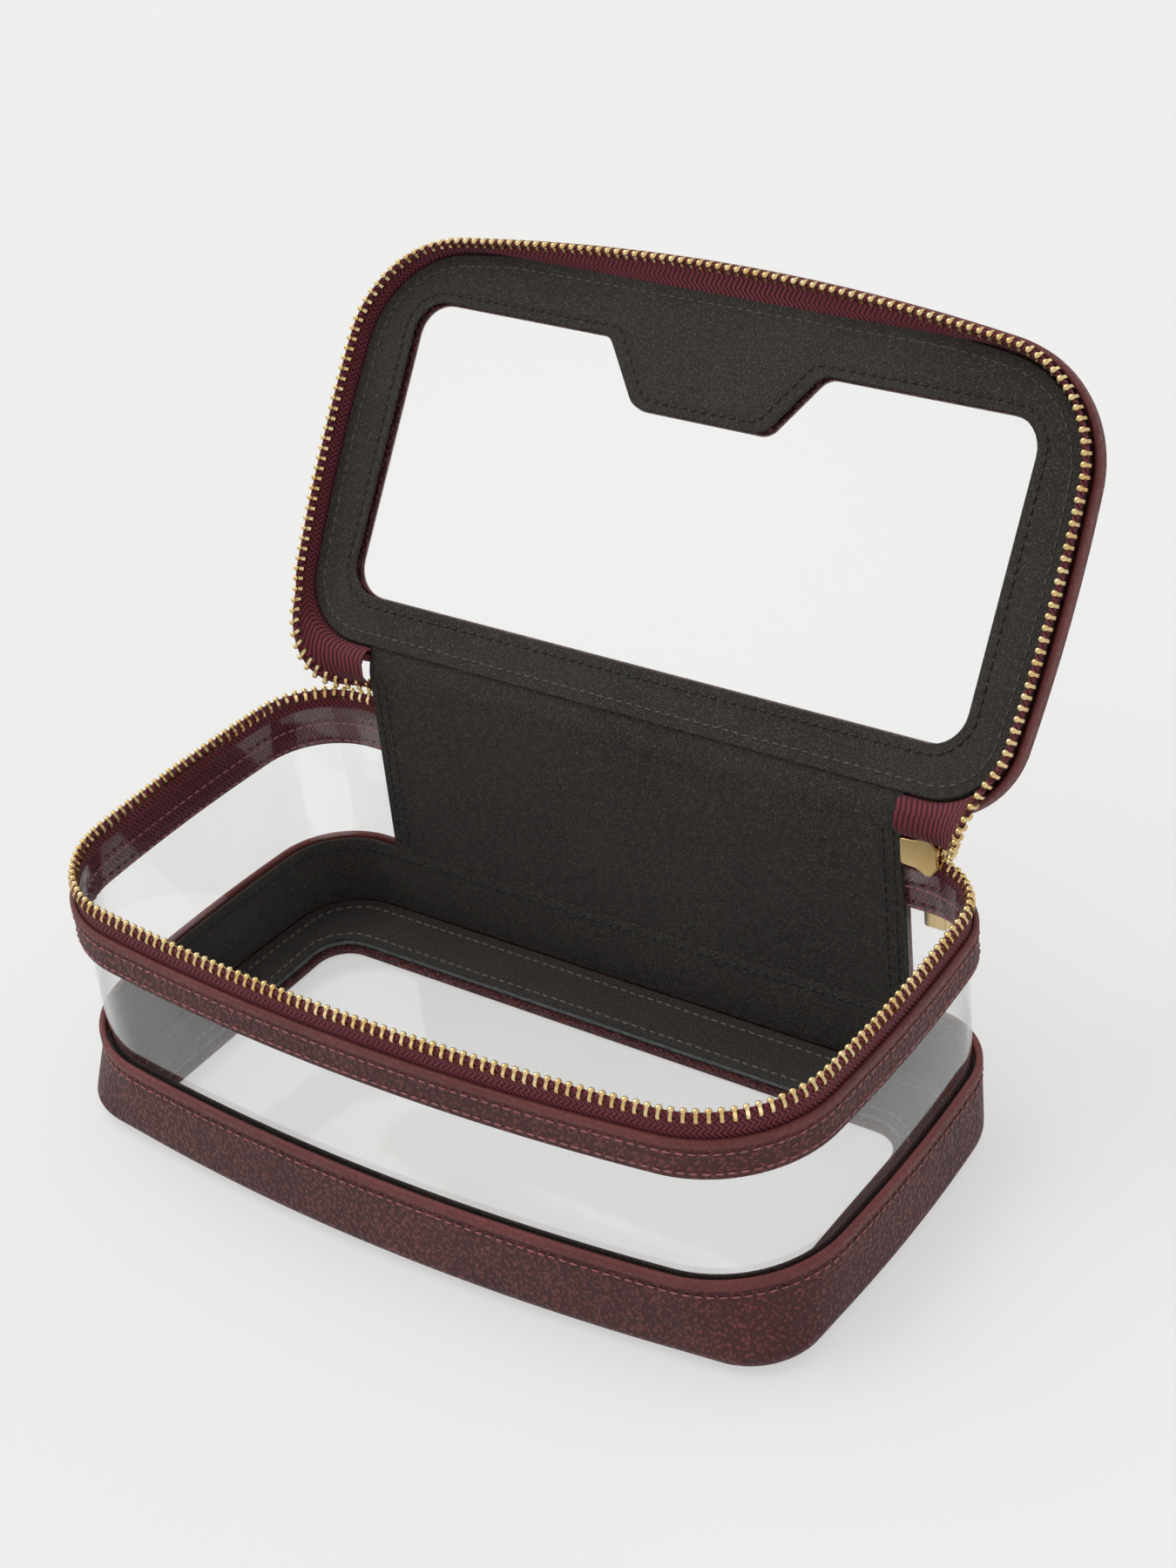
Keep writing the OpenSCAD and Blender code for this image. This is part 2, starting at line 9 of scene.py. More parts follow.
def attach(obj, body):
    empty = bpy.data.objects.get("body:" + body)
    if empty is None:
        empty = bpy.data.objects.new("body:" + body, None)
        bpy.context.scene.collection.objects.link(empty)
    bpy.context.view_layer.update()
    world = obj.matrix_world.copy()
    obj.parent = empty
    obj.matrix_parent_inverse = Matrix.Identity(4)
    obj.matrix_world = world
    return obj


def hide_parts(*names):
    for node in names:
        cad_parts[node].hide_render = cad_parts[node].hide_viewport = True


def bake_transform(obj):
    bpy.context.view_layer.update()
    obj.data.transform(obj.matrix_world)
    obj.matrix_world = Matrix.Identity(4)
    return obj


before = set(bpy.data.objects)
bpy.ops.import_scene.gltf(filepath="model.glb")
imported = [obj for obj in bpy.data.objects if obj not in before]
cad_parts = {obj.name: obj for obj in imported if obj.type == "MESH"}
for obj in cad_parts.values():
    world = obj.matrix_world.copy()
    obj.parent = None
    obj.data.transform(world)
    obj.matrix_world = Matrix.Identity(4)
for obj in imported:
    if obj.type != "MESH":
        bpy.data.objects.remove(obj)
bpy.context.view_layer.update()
MM = 0.001

# ---------------------------------------------------------------- sizes, in mm, as in the source
CASE_W, CASE_D = 200.0, 109.0
FRONT_R, BACK_R, BOW, SIDE_R = 30.0, 20.0, 4.5, 440.0
LEATHER, VINYL, LINING, BOARD, TAPE = 1.4, 0.6, 0.8, 1.0, 0.6
SKIRT_TOP, BAND_Z, BAND_H, ZIP_Z, EDGE_R = 23.0, 50.0, 8.0, 67.0, 7.0
PANEL_GAP, PANEL_DROP, TUCK, WALL_CLEAR = 5.2, 3.6, 6.0, 0.3
LID_SIDE, LID_FRONT, LID_BACK = 16.5, 21.0, 15.5
BASE_SIDE, BASE_FRONT, BASE_BACK = 18.0, 15.5, 21.0
TAB_ROOT, TAB_TIP, TAB_REACH = 58.0, 36.0, 15.5
WINDOW_R, TAB_R = 8, 5
BIND_H, PROUD, NOTCH = 2.6, 0.2, 0.6
CORD_R, CORD_RISE, TOOTH_T, PITCH = 0.65, 1.9, 2.8, 2.5
SLIDER_L, SLIDER_H, SLIDER_GAP = 9.2, 10.8, 0.4
LID_RISE, LID_LIP, LID_INSET, TAPE_LEAN, TAPE_EASE = 6.2, 0.8, 1.7, 1.4, 0.05
OPEN = 125.0

# Sizes that this scene adds to those of the source
FOOT_R, FOOT_EDGE_R = 17.0, 5.0             # the skirt's foot: tighter front corners, rounded lower edge
FOOT_FULL, FOOT_TOP = 4, 17.6               # heights at which those corners are full and have gone
FOOT_LEVELS = (8.0, 10.0, 12.0, 14.0, 16.0)
SEAM_PULL = 0.35                            # how far a seam draws the skirt's leather in
BASE_CLOTH_BACK, LID_CLOTH_BACK = 1.5, 0.3  # how far the linings stand back from the windows' openings
CLOTH_CLEAR, BINDING_CLEAR = 0.2, 0.35      # base lining to wall lining, lid binding to back panel
LINING_FRONT = 3.0                          # the lid's lining is straight along the front, this far in
WALL_EASE, WALL_BELOW = 0.06, 1             # wall to tape, and its lower end below the skirt's rounding
CLOTH_LAP, CLOTH_EASE = 0.8, 0.05           # the hinge's lining laps over the lid's, just clear of it
TAPE_FREE, TAPE_LOW = 0.6, 3                # above the cord: where the lid's tape leaves the rim, first row
SEWN_BELOW, SEWN_IN = 0.15, 0.4             # the tape's root, from the underside and edge of the lid's lining
FLEX_IN = 6                                 # from the back corner's start to where the lid's tape bends
END_STEP, PANEL_STEPS = 1.0, 40
STITCH_L, STITCH_R, BOLD_R, STITCH_PITCH = 1.9, 0.24, 0.4, 2.6
ON_SHEET = 0.02                             # from the skirt, band or wall to the middle of its stitches
BASE_STITCH_Z = 0.18                        # the base's stitches are nearly flush with its underside
# How far each row of stitches stands in from the edge that it follows
SKIRT_SEAM, SKIRT_LINING_SEAM, BAND_LOW_SEAM, BAND_HIGH_SEAM = 1.5, 3.2, 1.6, 1.4
WINDOW_SEAMS, PANEL_SEAMS = (2.4, 5.2), (1.8, 4.4)
BASE_WINDOW_SEAM, BASE_EDGE_SEAM, LID_WINDOW_SEAM, LID_LINING_SEAM, LID_EDGE_SEAM = 3.6, 3.4, 2.6, 2.8, 3.0

VINYL_IN = LEATHER + TAPE
LINING_IN = VINYL_IN + VINYL
WALL_IN = LINING_IN + LINING
TAPE_MID = (LEATHER + VINYL_IN) / 2
TAPE_OUT = LEATHER + TAPE_EASE
CORD_CASE, CORD_LID = ZIP_Z - CORD_RISE, ZIP_Z + CORD_RISE
FOLD_Z = SKIRT_TOP - BIND_H
CLOTH_TOP = SKIRT_TOP - 0.5
BAND_TOP = BAND_Z + BAND_H
WALL_TOP = ZIP_Z - SLIDER_H / 2 - WALL_CLEAR
BASE_LINING = LEATHER + VINYL + BOARD
BASE_INSIDE = BASE_LINING + LINING
LID_LINING = ZIP_Z + LID_RISE
LID_LEATHER = LID_LINING + LINING + BOARD + VINYL
LID_TOP = LID_LEATHER + LEATHER
LID_EDGE = LID_LINING - LID_LIP
LID_LINING_IN = VINYL_IN + LID_INSET
HINGE_Y, HINGE_Z = CASE_D / 2 - LEATHER / 2, LID_LEATHER + LEATHER / 2
PANEL_TOP = HINGE_Z - PANEL_DROP


def heading(a):
    """Cosine and sine of an angle in degrees."""
    return math.cos(math.radians(a)), math.sin(math.radians(a))


def case_shift():
    """How far the source moves the case along Y, to centre the open case on the origin."""
    c, d = heading(OPEN)
    reach = CASE_D / 2 + PROUD + HINGE_Y
    return -(HINGE_Y - reach * c + (LID_TOP - HINGE_Z) * d - CASE_D / 2 - PROUD) / 2


CASE_Y = case_shift()


# ---------------------------------------------------------------- the plan outline
def unit(a):
    return np.array(heading(a))


side_c = np.array([CASE_W / 2 - SIDE_R, 0.0])
back_turn = math.degrees(math.asin((CASE_D / 2 - BACK_R) / (SIDE_R - BACK_R)))
back_c = side_c + (SIDE_R - BACK_R) * unit(back_turn)
front_turn = math.degrees(math.asin((CASE_D / 2 - FRONT_R - BOW) / (SIDE_R - FRONT_R)))
front_c = side_c + (SIDE_R - FRONT_R) * unit(-front_turn)
bow_turn = 2 * math.degrees(math.atan(BOW / front_c[0]))
bow_r = FRONT_R + front_c[0] / math.sin(math.radians(bow_turn))
bow_c = np.array([0.0, bow_r - CASE_D / 2])
PANEL_W = 2 * (back_c[0] - PANEL_GAP)
SLIDER_X = PANEL_W / 2 + SLIDER_GAP + SLIDER_L / 2
# Centre, radius, first direction and turn of each arc of the right half, from the middle of the front
ARCS = [(bow_c, bow_r, -90, bow_turn),
        (front_c, FRONT_R, -90 + bow_turn, 90 - front_turn - bow_turn),
        (side_c, SIDE_R, -front_turn, front_turn + back_turn),
        (back_c, BACK_R, back_turn, 90 - back_turn)]


def arc_len(i, off=0.0):
    return (ARCS[i][1] + off) * math.radians(ARCS[i][3])


def place(s, off=0.0):
    """x, y and outward direction at a distance s round the outline, set off by off.
    s counts from the middle of the front, and is negative on the left."""
    side = 1
    if s < 0:
        side, s = -1, -s
    for i, (centre, r, first, _) in enumerate(ARCS):
        if s < arc_len(i, off):
            a = first + math.degrees(s / (r + off))
            p = centre + (r + off) * unit(a)
            break
        s -= arc_len(i, off)
    else:
        a = 90.0
        p = np.array([back_c[0] - s, CASE_D / 2 + off])
    return (side * p[0], p[1], a if side > 0 else 180 - a)


def round_len(off=0.0):
    """Distance at which the last arc ends and the straight back begins."""
    return sum(arc_len(i, off) for i in range(len(ARCS)))


def at_x(x, off=0.0):
    """Distance at which the outline reaches x on the back."""
    if x <= back_c[0]:
        return round_len(off) + back_c[0] - x
    return round_len(off) - (BACK_R + off) * math.asin((x - back_c[0]) / (BACK_R + off))


def stations(s0, s1, step=2.0):
    """x, y, outward direction and s at even distances along the outer face."""
    n = max(2, int(math.ceil(abs(s1 - s0) / step)))
    out = []
    for k in range(n + 1):
        s = s0 + (s1 - s0) * k / n
        out.append((*place(s), s))
    return out


HALF = at_x(0.0)
RING = stations(-HALF, HALF)[:-1]


def ring_to(x):
    """Stations from x on the back, round the front, to the same x on the other side."""
    return stations(-at_x(x), at_x(x))


# ---------------------------------------------------------------- mesh helpers
def turned(p, share=1.0):
    """A point of the closed lid, in mm, turned open by a share of the lid's whole turn."""
    c, d = heading(-OPEN * share)
    y, z = p[1] - HINGE_Y, p[2] - HINGE_Z
    return (p[0], HINGE_Y + y * c - z * d, HINGE_Z + y * d + z * c)


def to_row(p):
    """A point in mm, in metres and in the row's frame."""
    return (p[0] * MM, (p[1] + CASE_Y) * MM, p[2] * MM)


def shade(o, limit):
    """Smooth shading, with an edge kept sharp where its faces turn by limit degrees or more."""
    bm = bmesh.new()
    bm.from_mesh(o.data)
    bmesh.ops.recalc_face_normals(bm, faces=bm.faces)
    for f in bm.faces:
        f.smooth = True
    for e in bm.edges:
        if len(e.link_faces) == 2:
            e.smooth = e.calc_face_angle(0) < math.radians(limit)
    bm.to_mesh(o.data)
    bm.free()


def make(name, points, faces, material, body, lid=False, uv=None, smooth=50):
    """An object from points in mm. uv is one pair for each point, in mm."""
    pts = [to_row(turned(p)) if lid else to_row(p) for p in points]
    me = bpy.data.meshes.new(name)
    me.from_pydata(pts, [], faces)
    if uv is not None:
        layer = me.uv_layers.new(name="UVMap")
        for loop in me.loops:
            layer.data[loop.index].uv = uv[loop.vertex_index]
    me.validate()
    o = bpy.data.objects.new(name, me)
    bpy.context.scene.collection.objects.link(o)
    shade(o, smooth)
    o.data.materials.append(material)
    if body:
        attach(o, body)
    return o


def stand_for(node):
    """Lets an object take the place of a CAD node, by hiding the node."""
    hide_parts(node)


def sweep(name, path, profile, material, body, closed=False, lid=False, smooth=40, move=None):
    """Carries a profile of (out, z) along stations. move(point, s, outward) may shift a point."""
    m, n = len(profile), len(path)
    girth = [0.0]
    for j in range(1, m + 1):
        a, b = profile[j - 1], profile[j % m]
        girth.append(girth[-1] + math.hypot(a[0] - b[0], a[1] - b[1]))
    rows, cols = n + (1 if closed else 0), m + 1
    pts, uv = [], []
    for k in range(rows):
        x, y, a, s = path[k % n]
        if k == n:
            s = path[0][3] + 2 * HALF
        c, d = heading(a)
        for j in range(cols):
            out, z = profile[j % m]
            p = (x + out * c, y + out * d, z)
            pts.append(move(p, s, (c, d)) if move else p)
            uv.append((s, girth[j]))
    faces = []
    for k in range(rows - 1):
        for j in range(m):
            a = k * cols + j
            faces.append((a, a + 1, a + cols + 1, a + cols))
    o = make(name, pts, faces, material, None, lid, uv, smooth)
    bm = bmesh.new()
    bm.from_mesh(o.data)
    bmesh.ops.remove_doubles(bm, verts=bm.verts, dist=1e-6)
    if not closed:
        bmesh.ops.holes_fill(bm, edges=[e for e in bm.edges if len(e.link_faces) == 1])
    bm.to_mesh(o.data)
    bm.free()
    shade(o, smooth)
    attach(o, body)
    return o


def tube_faces(rows, cols):
    """Faces of a closed tube of rows, each a ring of cols points."""
    faces = [(k * cols + j, k * cols + (j + 1) % cols, (k + 1) * cols + (j + 1) % cols, (k + 1) * cols + j)
             for k in range(rows - 1) for j in range(cols)]
    last = (rows - 1) * cols
    return faces + [tuple(range(cols)), tuple(range(last + cols - 1, last - 1, -1))]


def arc(cx, cz, r, a0, a1, n):
    """n + 1 points round part of a circle in a section."""
    out = []
    for i in range(n + 1):
        c, d = heading(a0 + (a1 - a0) * i / n)
        out.append((cx + r * c, cz + r * d))
    return out


def rounded_strip(inner, outer, z0, z1, r, n=3):
    """Section of a strip of sheet with eased edges. Depths are in from the outer face."""
    a, b = -inner, -outer
    r = min(r, (b - a) / 2 - 1e-3, (z1 - z0) / 2 - 1e-3)
    return (arc(b - r, z0 + r, r, -90, 0, n) + arc(b - r, z1 - r, r, 0, 90, n)
            + arc(a + r, z1 - r, r, 90, 180, n) + arc(a + r, z0 + r, r, 180, 270, n))


def squarer(s, amount=1.0):
    """How far the skirt's foot stands out past the rim's outline at s, as its front corners are tighter.
    Such a corner is an arc of FOOT_R, which two straight stretches join to the ends of the rim's corner."""
    f = (abs(s) - arc_len(0)) / arc_len(1)
    if not 0 < f < 1:
        return 0.0
    half = math.radians(ARCS[1][3] / 2)
    turn = 2 * half * min(f, 1 - f)
    ease = FRONT_R - FOOT_R
    if turn <= math.atan(ease / FRONT_R * math.tan(half)):
        return (FRONT_R / math.cos(turn) - FRONT_R) * amount
    apart = ease / math.cos(half)
    beside = apart * math.cos(half - turn)
    return (beside + math.sqrt(beside * beside - apart * apart + FOOT_R ** 2) - FRONT_R) * amount


def outline(off, foot=0.0):
    """The plan outline set off by off, with a share of the foot's tighter corners."""
    out = []
    for x, y, a, s in RING:
        c, d = heading(a)
        reach = off + squarer(s, foot)
        out.append((x + reach * c, y + reach * d))
    return out


def rounded(points, radii, n=8):
    """A polygon with an arc at each corner."""
    out = []
    for i, p in enumerate(points):
        p = np.array(p, float)
        a = np.array(points[i - 1]) - p
        b = np.array(points[(i + 1) % len(points)]) - p
        ua, ub = a / np.linalg.norm(a), b / np.linalg.norm(b)
        half = math.acos(float(ua @ ub)) / 2
        mid = (ua + ub) / np.linalg.norm(ua + ub)
        c = p + mid * radii[i] / math.sin(half)
        pa = p + ua * radii[i] / math.tan(half) - c
        pb = p + ub * radii[i] / math.tan(half) - c
        a0 = math.atan2(pa[1], pa[0])
        t = math.atan2(pb[1], pb[0]) - a0
        t = (t + math.pi) % (2 * math.pi) - math.pi
        for k in range(n + 1):
            v = c + radii[i] * np.array([math.cos(a0 + t * k / n), math.sin(a0 + t * k / n)])
            out.append((float(v[0]), float(v[1])))
    return out


def base_opening(g):
    """The base's window opening, larger by g all round."""
    x, f, b = CASE_W / 2 - BASE_SIDE + g, BASE_FRONT - CASE_D / 2 - g, CASE_D / 2 - BASE_BACK + g
    return rounded([(-x, f), (x, f), (x, b), (-x, b)], [WINDOW_R + g] * 4)


def lid_opening(g):
    """The lid's window opening, which goes round a tongue at the front, larger by g all round."""
    f, b, x = LID_FRONT - CASE_D / 2 - g, CASE_D / 2 - LID_BACK + g, CASE_W / 2 - LID_SIDE + g
    root, tip, top = TAB_ROOT / 2 - g, TAB_TIP / 2 - g, f + TAB_REACH
    tongue = [(-root, f), (-tip, top), (tip, top), (root, f)]
    corner = [WINDOW_R + g]
    return rounded([(-x, f), *tongue, (x, f), (x, b), (-x, b)], corner + [TAB_R] * 4 + corner * 3)


def plate(name, outer, hole, z0, t, material, body, lid=False, bevel=0.35):
    """A flat sheet of thickness t with a hole and eased edges, from outlines in mm."""
    cu = bpy.data.curves.new(name, "CURVE")
    cu.dimensions = "2D"
    cu.fill_mode = "BOTH"
    bevel = min(bevel, t * 0.45)
    cu.extrude = t / 2 - bevel
    cu.bevel_depth = bevel
    cu.bevel_resolution = 2
    cu.offset = -bevel
    for line in (outer, hole):
        sp = cu.splines.new("POLY")
        sp.points.add(len(line) - 1)
        for p, q in zip(sp.points, line):
            p.co = (q[0], q[1], 0, 1)
        sp.use_cyclic_u = True
    o = bpy.data.objects.new(name, cu)
    bpy.context.scene.collection.objects.link(o)
    dg = bpy.context.evaluated_depsgraph_get()
    me = bpy.data.meshes.new_from_object(o.evaluated_get(dg))
    pts = [(v.co.x, v.co.y, v.co.z + z0 + t / 2) for v in me.vertices]
    faces = [tuple(p.vertices) for p in me.polygons]
    bpy.data.objects.remove(o)
    uv = [(p[0], p[1]) for p in pts]
    return make(name, pts, faces, material, body, lid, uv, 40)


# ---------------------------------------------------------------- materials
def add_node(tree, kind, **props):
    n = tree.nodes.new(kind)
    for k, v in props.items():
        setattr(n, k, v)
    return n


class Nodes:
    """A material with one Principled shader, and short ways to add nodes and link them."""

    def __init__(self, name):
        self.material = bpy.data.materials.new(name)
        self.material.use_nodes = True
        self.tree = self.material.node_tree
        self.tree.nodes.clear()
        self.out = self.add("ShaderNodeOutputMaterial")
        self.shader = self.add("ShaderNodeBsdfPrincipled")
        self.link(self.shader.outputs[0], self.out.inputs[0])

    def add(self, kind, **props):
        return add_node(self.tree, kind, **props)

    def link(self, a, b):
        self.tree.links.new(a, b)

    def put(self, socket, value):
        """Links a node's output to a socket, or sets the socket to a constant."""
        if isinstance(value, bpy.types.NodeSocket):
            self.link(value, socket)
        else:
            socket.default_value = value

    def coords(self):
        return self.add("ShaderNodeTexCoord").outputs["Object"]

    def parts(self, v):
        """The three parts of a vector."""
        n = self.add("ShaderNodeSeparateXYZ")
        self.link(v, n.inputs[0])
        return n.outputs

    def math(self, op, a, b=0.0, c=0.0, clamp=False):
        n = self.add("ShaderNodeMath", operation=op, use_clamp=clamp)
        for s, v in zip(n.inputs, (a, b, c)):
            self.put(s, v)
        return n.outputs[0]

    def ribs(self, v, length):
        """A sine wave along v, of the given length and between -1 and 1."""
        return self.math("SINE", self.math("MULTIPLY", v, 2 * math.pi / length))

    def noise(self, v, scale, detail):
        n = self.add("ShaderNodeTexNoise")
        self.link(v, n.inputs["Vector"])
        n.inputs["Scale"].default_value = scale
        n.inputs["Detail"].default_value = detail
        n.inputs["Roughness"].default_value = 0.55
        return n.outputs[0]

    def warped(self, v, scale, shift):
        """Coordinates pushed about by a noise, by up to shift."""
        noise = self.add("ShaderNodeTexNoise")
        self.link(v, noise.inputs["Vector"])
        noise.inputs["Scale"].default_value = scale
        n = self.add("ShaderNodeVectorMath", operation="MULTIPLY_ADD")
        self.link(noise.outputs[1], n.inputs[0])
        n.inputs[1].default_value = shift
        self.link(v, n.inputs[2])
        return n.outputs[0]

    def cells(self, v, scale):
        """Distance from the middles of cells with softened borders."""
        n = self.add("ShaderNodeTexVoronoi", feature="SMOOTH_F1")
        self.link(v, n.inputs["Vector"])
        n.inputs["Scale"].default_value = scale
        n.inputs["Randomness"].default_value = 1.0
        n.inputs["Smoothness"].default_value = 0.35
        return n.outputs["Distance"]

    def mix(self, f, a, b):
        n = self.add("ShaderNodeMix", data_type="RGBA")
        self.put(n.inputs[0], f)
        self.put(n.inputs[6], a)
        self.put(n.inputs[7], b)
        return n.outputs[2]

    def ramp(self, f, stops):
        """Eases from stops[2] to stops[3] as f goes from stops[0] to stops[1]."""
        n = self.add("ShaderNodeMapRange", interpolation_type="SMOOTHSTEP")
        self.put(n.inputs[0], f)
        for i, v in enumerate(stops):
            n.inputs[i + 1].default_value = v
        return n.outputs[0]

    def surface(self, colour, rough, specular=0.5, sheen=0.0, metallic=0.0):
        """Each value is a constant or another node's output."""
        values = {"Base Color": colour, "Roughness": rough, "Specular IOR Level": specular,
                  "Sheen Weight": sheen, "Metallic": metallic}
        for name, value in values.items():
            self.put(self.shader.inputs[name], value)

    def bump(self, height, strength, distance):
        n = self.add("ShaderNodeBump")
        n.inputs["Strength"].default_value = strength
        n.inputs["Distance"].default_value = distance
        self.link(height, n.inputs["Height"])
        self.link(n.outputs[0], self.shader.inputs["Normal"])


def srgb(h):
    v = [int(h[i:i + 2], 16) / 255 for i in (1, 3, 5)]
    return (*[x / 12.92 if x <= 0.04045 else ((x + 0.055) / 1.055) ** 2.4 for x in v], 1)


def leather(name, dark, mid, light, rough, smooth=False):
    """Leather with rounded pebbles between fine creases, which hold painted shade; a smooth one keeps only a
    trace of them.
    """
    crease_shade, relief = (0.15, 0.35) if smooth else (0.8, 1.0)
    n = Nodes(name)
    v = n.coords()
    pebble = n.ramp(n.cells(n.warped(v, 260, (0.0011, 0.0011, 0.0007)), 880), (0.15, 0.68, 1.0, 0.0))
    gap = n.math("SUBTRACT", 1.0, pebble)
    fine = n.noise(v, 3200, 2.0)
    tone = n.noise(v, 45, 4.0)
    if smooth:
        height = n.math("MULTIPLY_ADD", pebble, 0.15, fine)
    else:
        height = n.math("MULTIPLY_ADD", fine, 0.2, pebble)
    col = n.mix(n.ramp(tone, (0.3, 0.7, 0.0, 1.0)), srgb(mid), srgb(light))
    # Painted shade: the creases between the pebbles are darkened towards the dark colour
    col = n.mix(n.math("MULTIPLY", gap, crease_shade), col, srgb(dark))
    pointed = n.add("ShaderNodeNewGeometry").outputs["Pointiness"]
    col = n.mix(n.ramp(pointed, (0.53, 0.62, 0.0, 0.45)), col, srgb(light))
    rougher = n.math("MULTIPLY_ADD", gap, 0.2, rough)
    n.surface(col, n.math("MULTIPLY_ADD", tone, 0.08, rougher), specular=0.4)
    n.bump(height, relief, 0.0006)
    return n.material


def twill(name):
    """Black lining with fine slanted ribs, painted shade in their grooves, and pale flecks."""
    n = Nodes(name)
    v = n.coords()
    x, y, z = n.parts(v)
    rib = n.ribs(n.math("SUBTRACT", n.math("ADD", x, y), z), 0.0005)
    slant = n.math("ADD", y, n.math("MULTIPLY", z, 1.3))
    yarn = n.ribs(n.math("ADD", n.math("MULTIPLY", x, 0.7), slant), 0.0006)
    height = n.math("MULTIPLY_ADD", yarn, 0.35, rib)
    height = n.math("MULTIPLY_ADD", n.noise(v, 2600, 2.0), 1.2, height)
    col = n.mix(n.ramp(n.noise(v, 25, 4.0), (0.3, 0.75, 0.0, 1.0)), srgb("#272321"), srgb("#312d2a"))
    col = n.mix(n.ramp(n.noise(v, 2400, 2.0), (0.48, 0.72, 0.0, 0.8)), col, srgb("#5b5650"))
    # Painted shade: the ribs' grooves are darkened
    col = n.mix(n.ramp(rib, (-1.0, 0.2, 0.35, 0.0)), col, srgb("#121010"))
    n.surface(col, 0.78, specular=0.25, sheen=0.06)
    n.bump(height, 0.6, 0.00008)
    return n.material


def herringbone(name, pitch=1.3):
    """Weave that follows the tape, lighter on its ribs' crests and darker in their grooves as painted
    highlight and painted shade: U runs along it and V across, in mm.
    """
    n = Nodes(name)
    u, v, _ = n.parts(n.add("ShaderNodeTexCoord").outputs["UV"])
    rib = n.ribs(n.math("ADD", u, n.math("PINGPONG", v, pitch)), pitch)
    tone = n.noise(n.coords(), 60, 3.0)
    # Painted highlight and painted shade: the ribs' crests are light and their grooves dark
    col = n.mix(n.ramp(rib, (-0.9, 0.9, 0.0, 1.0)), srgb("#300e14"), srgb("#7d3540"))
    col = n.mix(n.ramp(tone, (0.3, 0.7, 0.0, 0.35)), col, srgb("#561d28"))
    n.surface(col, 0.75, specular=0.25, sheen=0.05)
    n.bump(rib, 0.6, 0.0001)
    return n.material


def gold(name):
    """Polished metal of a slightly uneven tone."""
    n = Nodes(name)
    v = n.coords()
    tone = n.noise(v, 90, 3.0)
    col = n.mix(n.ramp(tone, (0.3, 0.75, 0.0, 1.0)), srgb("#dcb978"), srgb("#eed9a8"))
    n.surface(col, n.math("MULTIPLY_ADD", tone, 0.12, 0.13), metallic=1.0)
    n.bump(n.noise(v, 2600, 2.0), 0.04, 0.00002)
    return n.material


def vinyl(name, haze, wave):
    """A thin clear sheet: a face lets light straight through, and mirrors a share that grows at a slant."""
    n = Nodes(name)
    v = n.coords()
    slant = n.add("ShaderNodeLayerWeight")
    slant.inputs["Blend"].default_value = 0.5
    mirror = n.math("MULTIPLY_ADD", n.math("POWER", slant.outputs["Facing"], 4.0), 0.85, 0.045)
    cloud = n.ramp(n.noise(v, 30, 4.0), (0.4, 0.75, 0.0, haze))
    rough = n.ramp(n.noise(v, 90, 4.0), (0.35, 0.8, 0.04, 0.12))
    n.surface((0.90, 0.935, 0.93, 1), rough, metallic=1.0)
    n.link(n.math("ADD", mirror, cloud, clamp=True), n.shader.inputs["Alpha"])
    n.bump(n.noise(v, 22, 3.0), 0.4, wave)
    return n.material


def thread(name, colour):
    """Sewing thread with paler stretches."""
    n = Nodes(name)
    v = n.coords()
    dark = srgb(colour)
    pale = (*[min(1, c * 1.5) for c in dark[:3]], 1)
    n.surface(n.mix(n.ramp(n.noise(v, 900, 2.0), (0.3, 0.7, 0.0, 1.0)), dark, pale), 0.55)
    n.bump(n.noise(v, 4000, 2.0), 0.4, 0.00005)
    return n.material


def grey_board(name):
    """Stiffening board, between the leather and the lining."""
    n = Nodes(name)
    v = n.coords()
    fibre = n.ramp(n.noise(v, 700, 4.0), (0.3, 0.7, 0.0, 1.0))
    n.surface(n.mix(fibre, srgb("#4c5250"), srgb("#666d6a")), 0.85)
    n.bump(n.noise(v, 1500, 3.0), 0.4, 0.0001)
    return n.material


# The first colour of each leather is the painted shade in its creases
GRAIN = leather("grained_leather", "#2c0e12", "#652a2d", "#773a3b", 0.37)
SMOOTH = leather("smooth_leather", "#3c1414", "#5e2827", "#6c3230", 0.38, smooth=True)
TWILL = twill("twill_lining")
WEAVE = herringbone("zip_tape")
GOLD = gold("gold_metal")
CLEAR_WALL = vinyl("clear_vinyl", 0.02, 0.0003)
CLEAR_WINDOW = vinyl("clear_window", 0.012, 0.00015)
THREAD = thread("burgundy_thread", "#875256")
BLACK_THREAD = thread("black_thread", "#0b0a0a")
GREY_THREAD = thread("grey_thread", "#585450")
DULL_THREAD = thread("dull_thread", "#3f3c39")
STIFF = grey_board("board")

# The first of these words in a CAD node's name says its material. The rest are grained leather.
MATERIALS = [("board", STIFF), ("lining", TWILL), ("tape", WEAVE), ("binding", SMOOTH),
             ("clear_wall", CLEAR_WALL), ("window", CLEAR_WINDOW),
             ("teeth", GOLD), ("slider", GOLD), ("pull", GOLD), ("", GRAIN)]
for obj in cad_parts.values():
    obj.data.materials.clear()
    obj.data.materials.append(next(m for word, m in MATERIALS if word in obj.name))


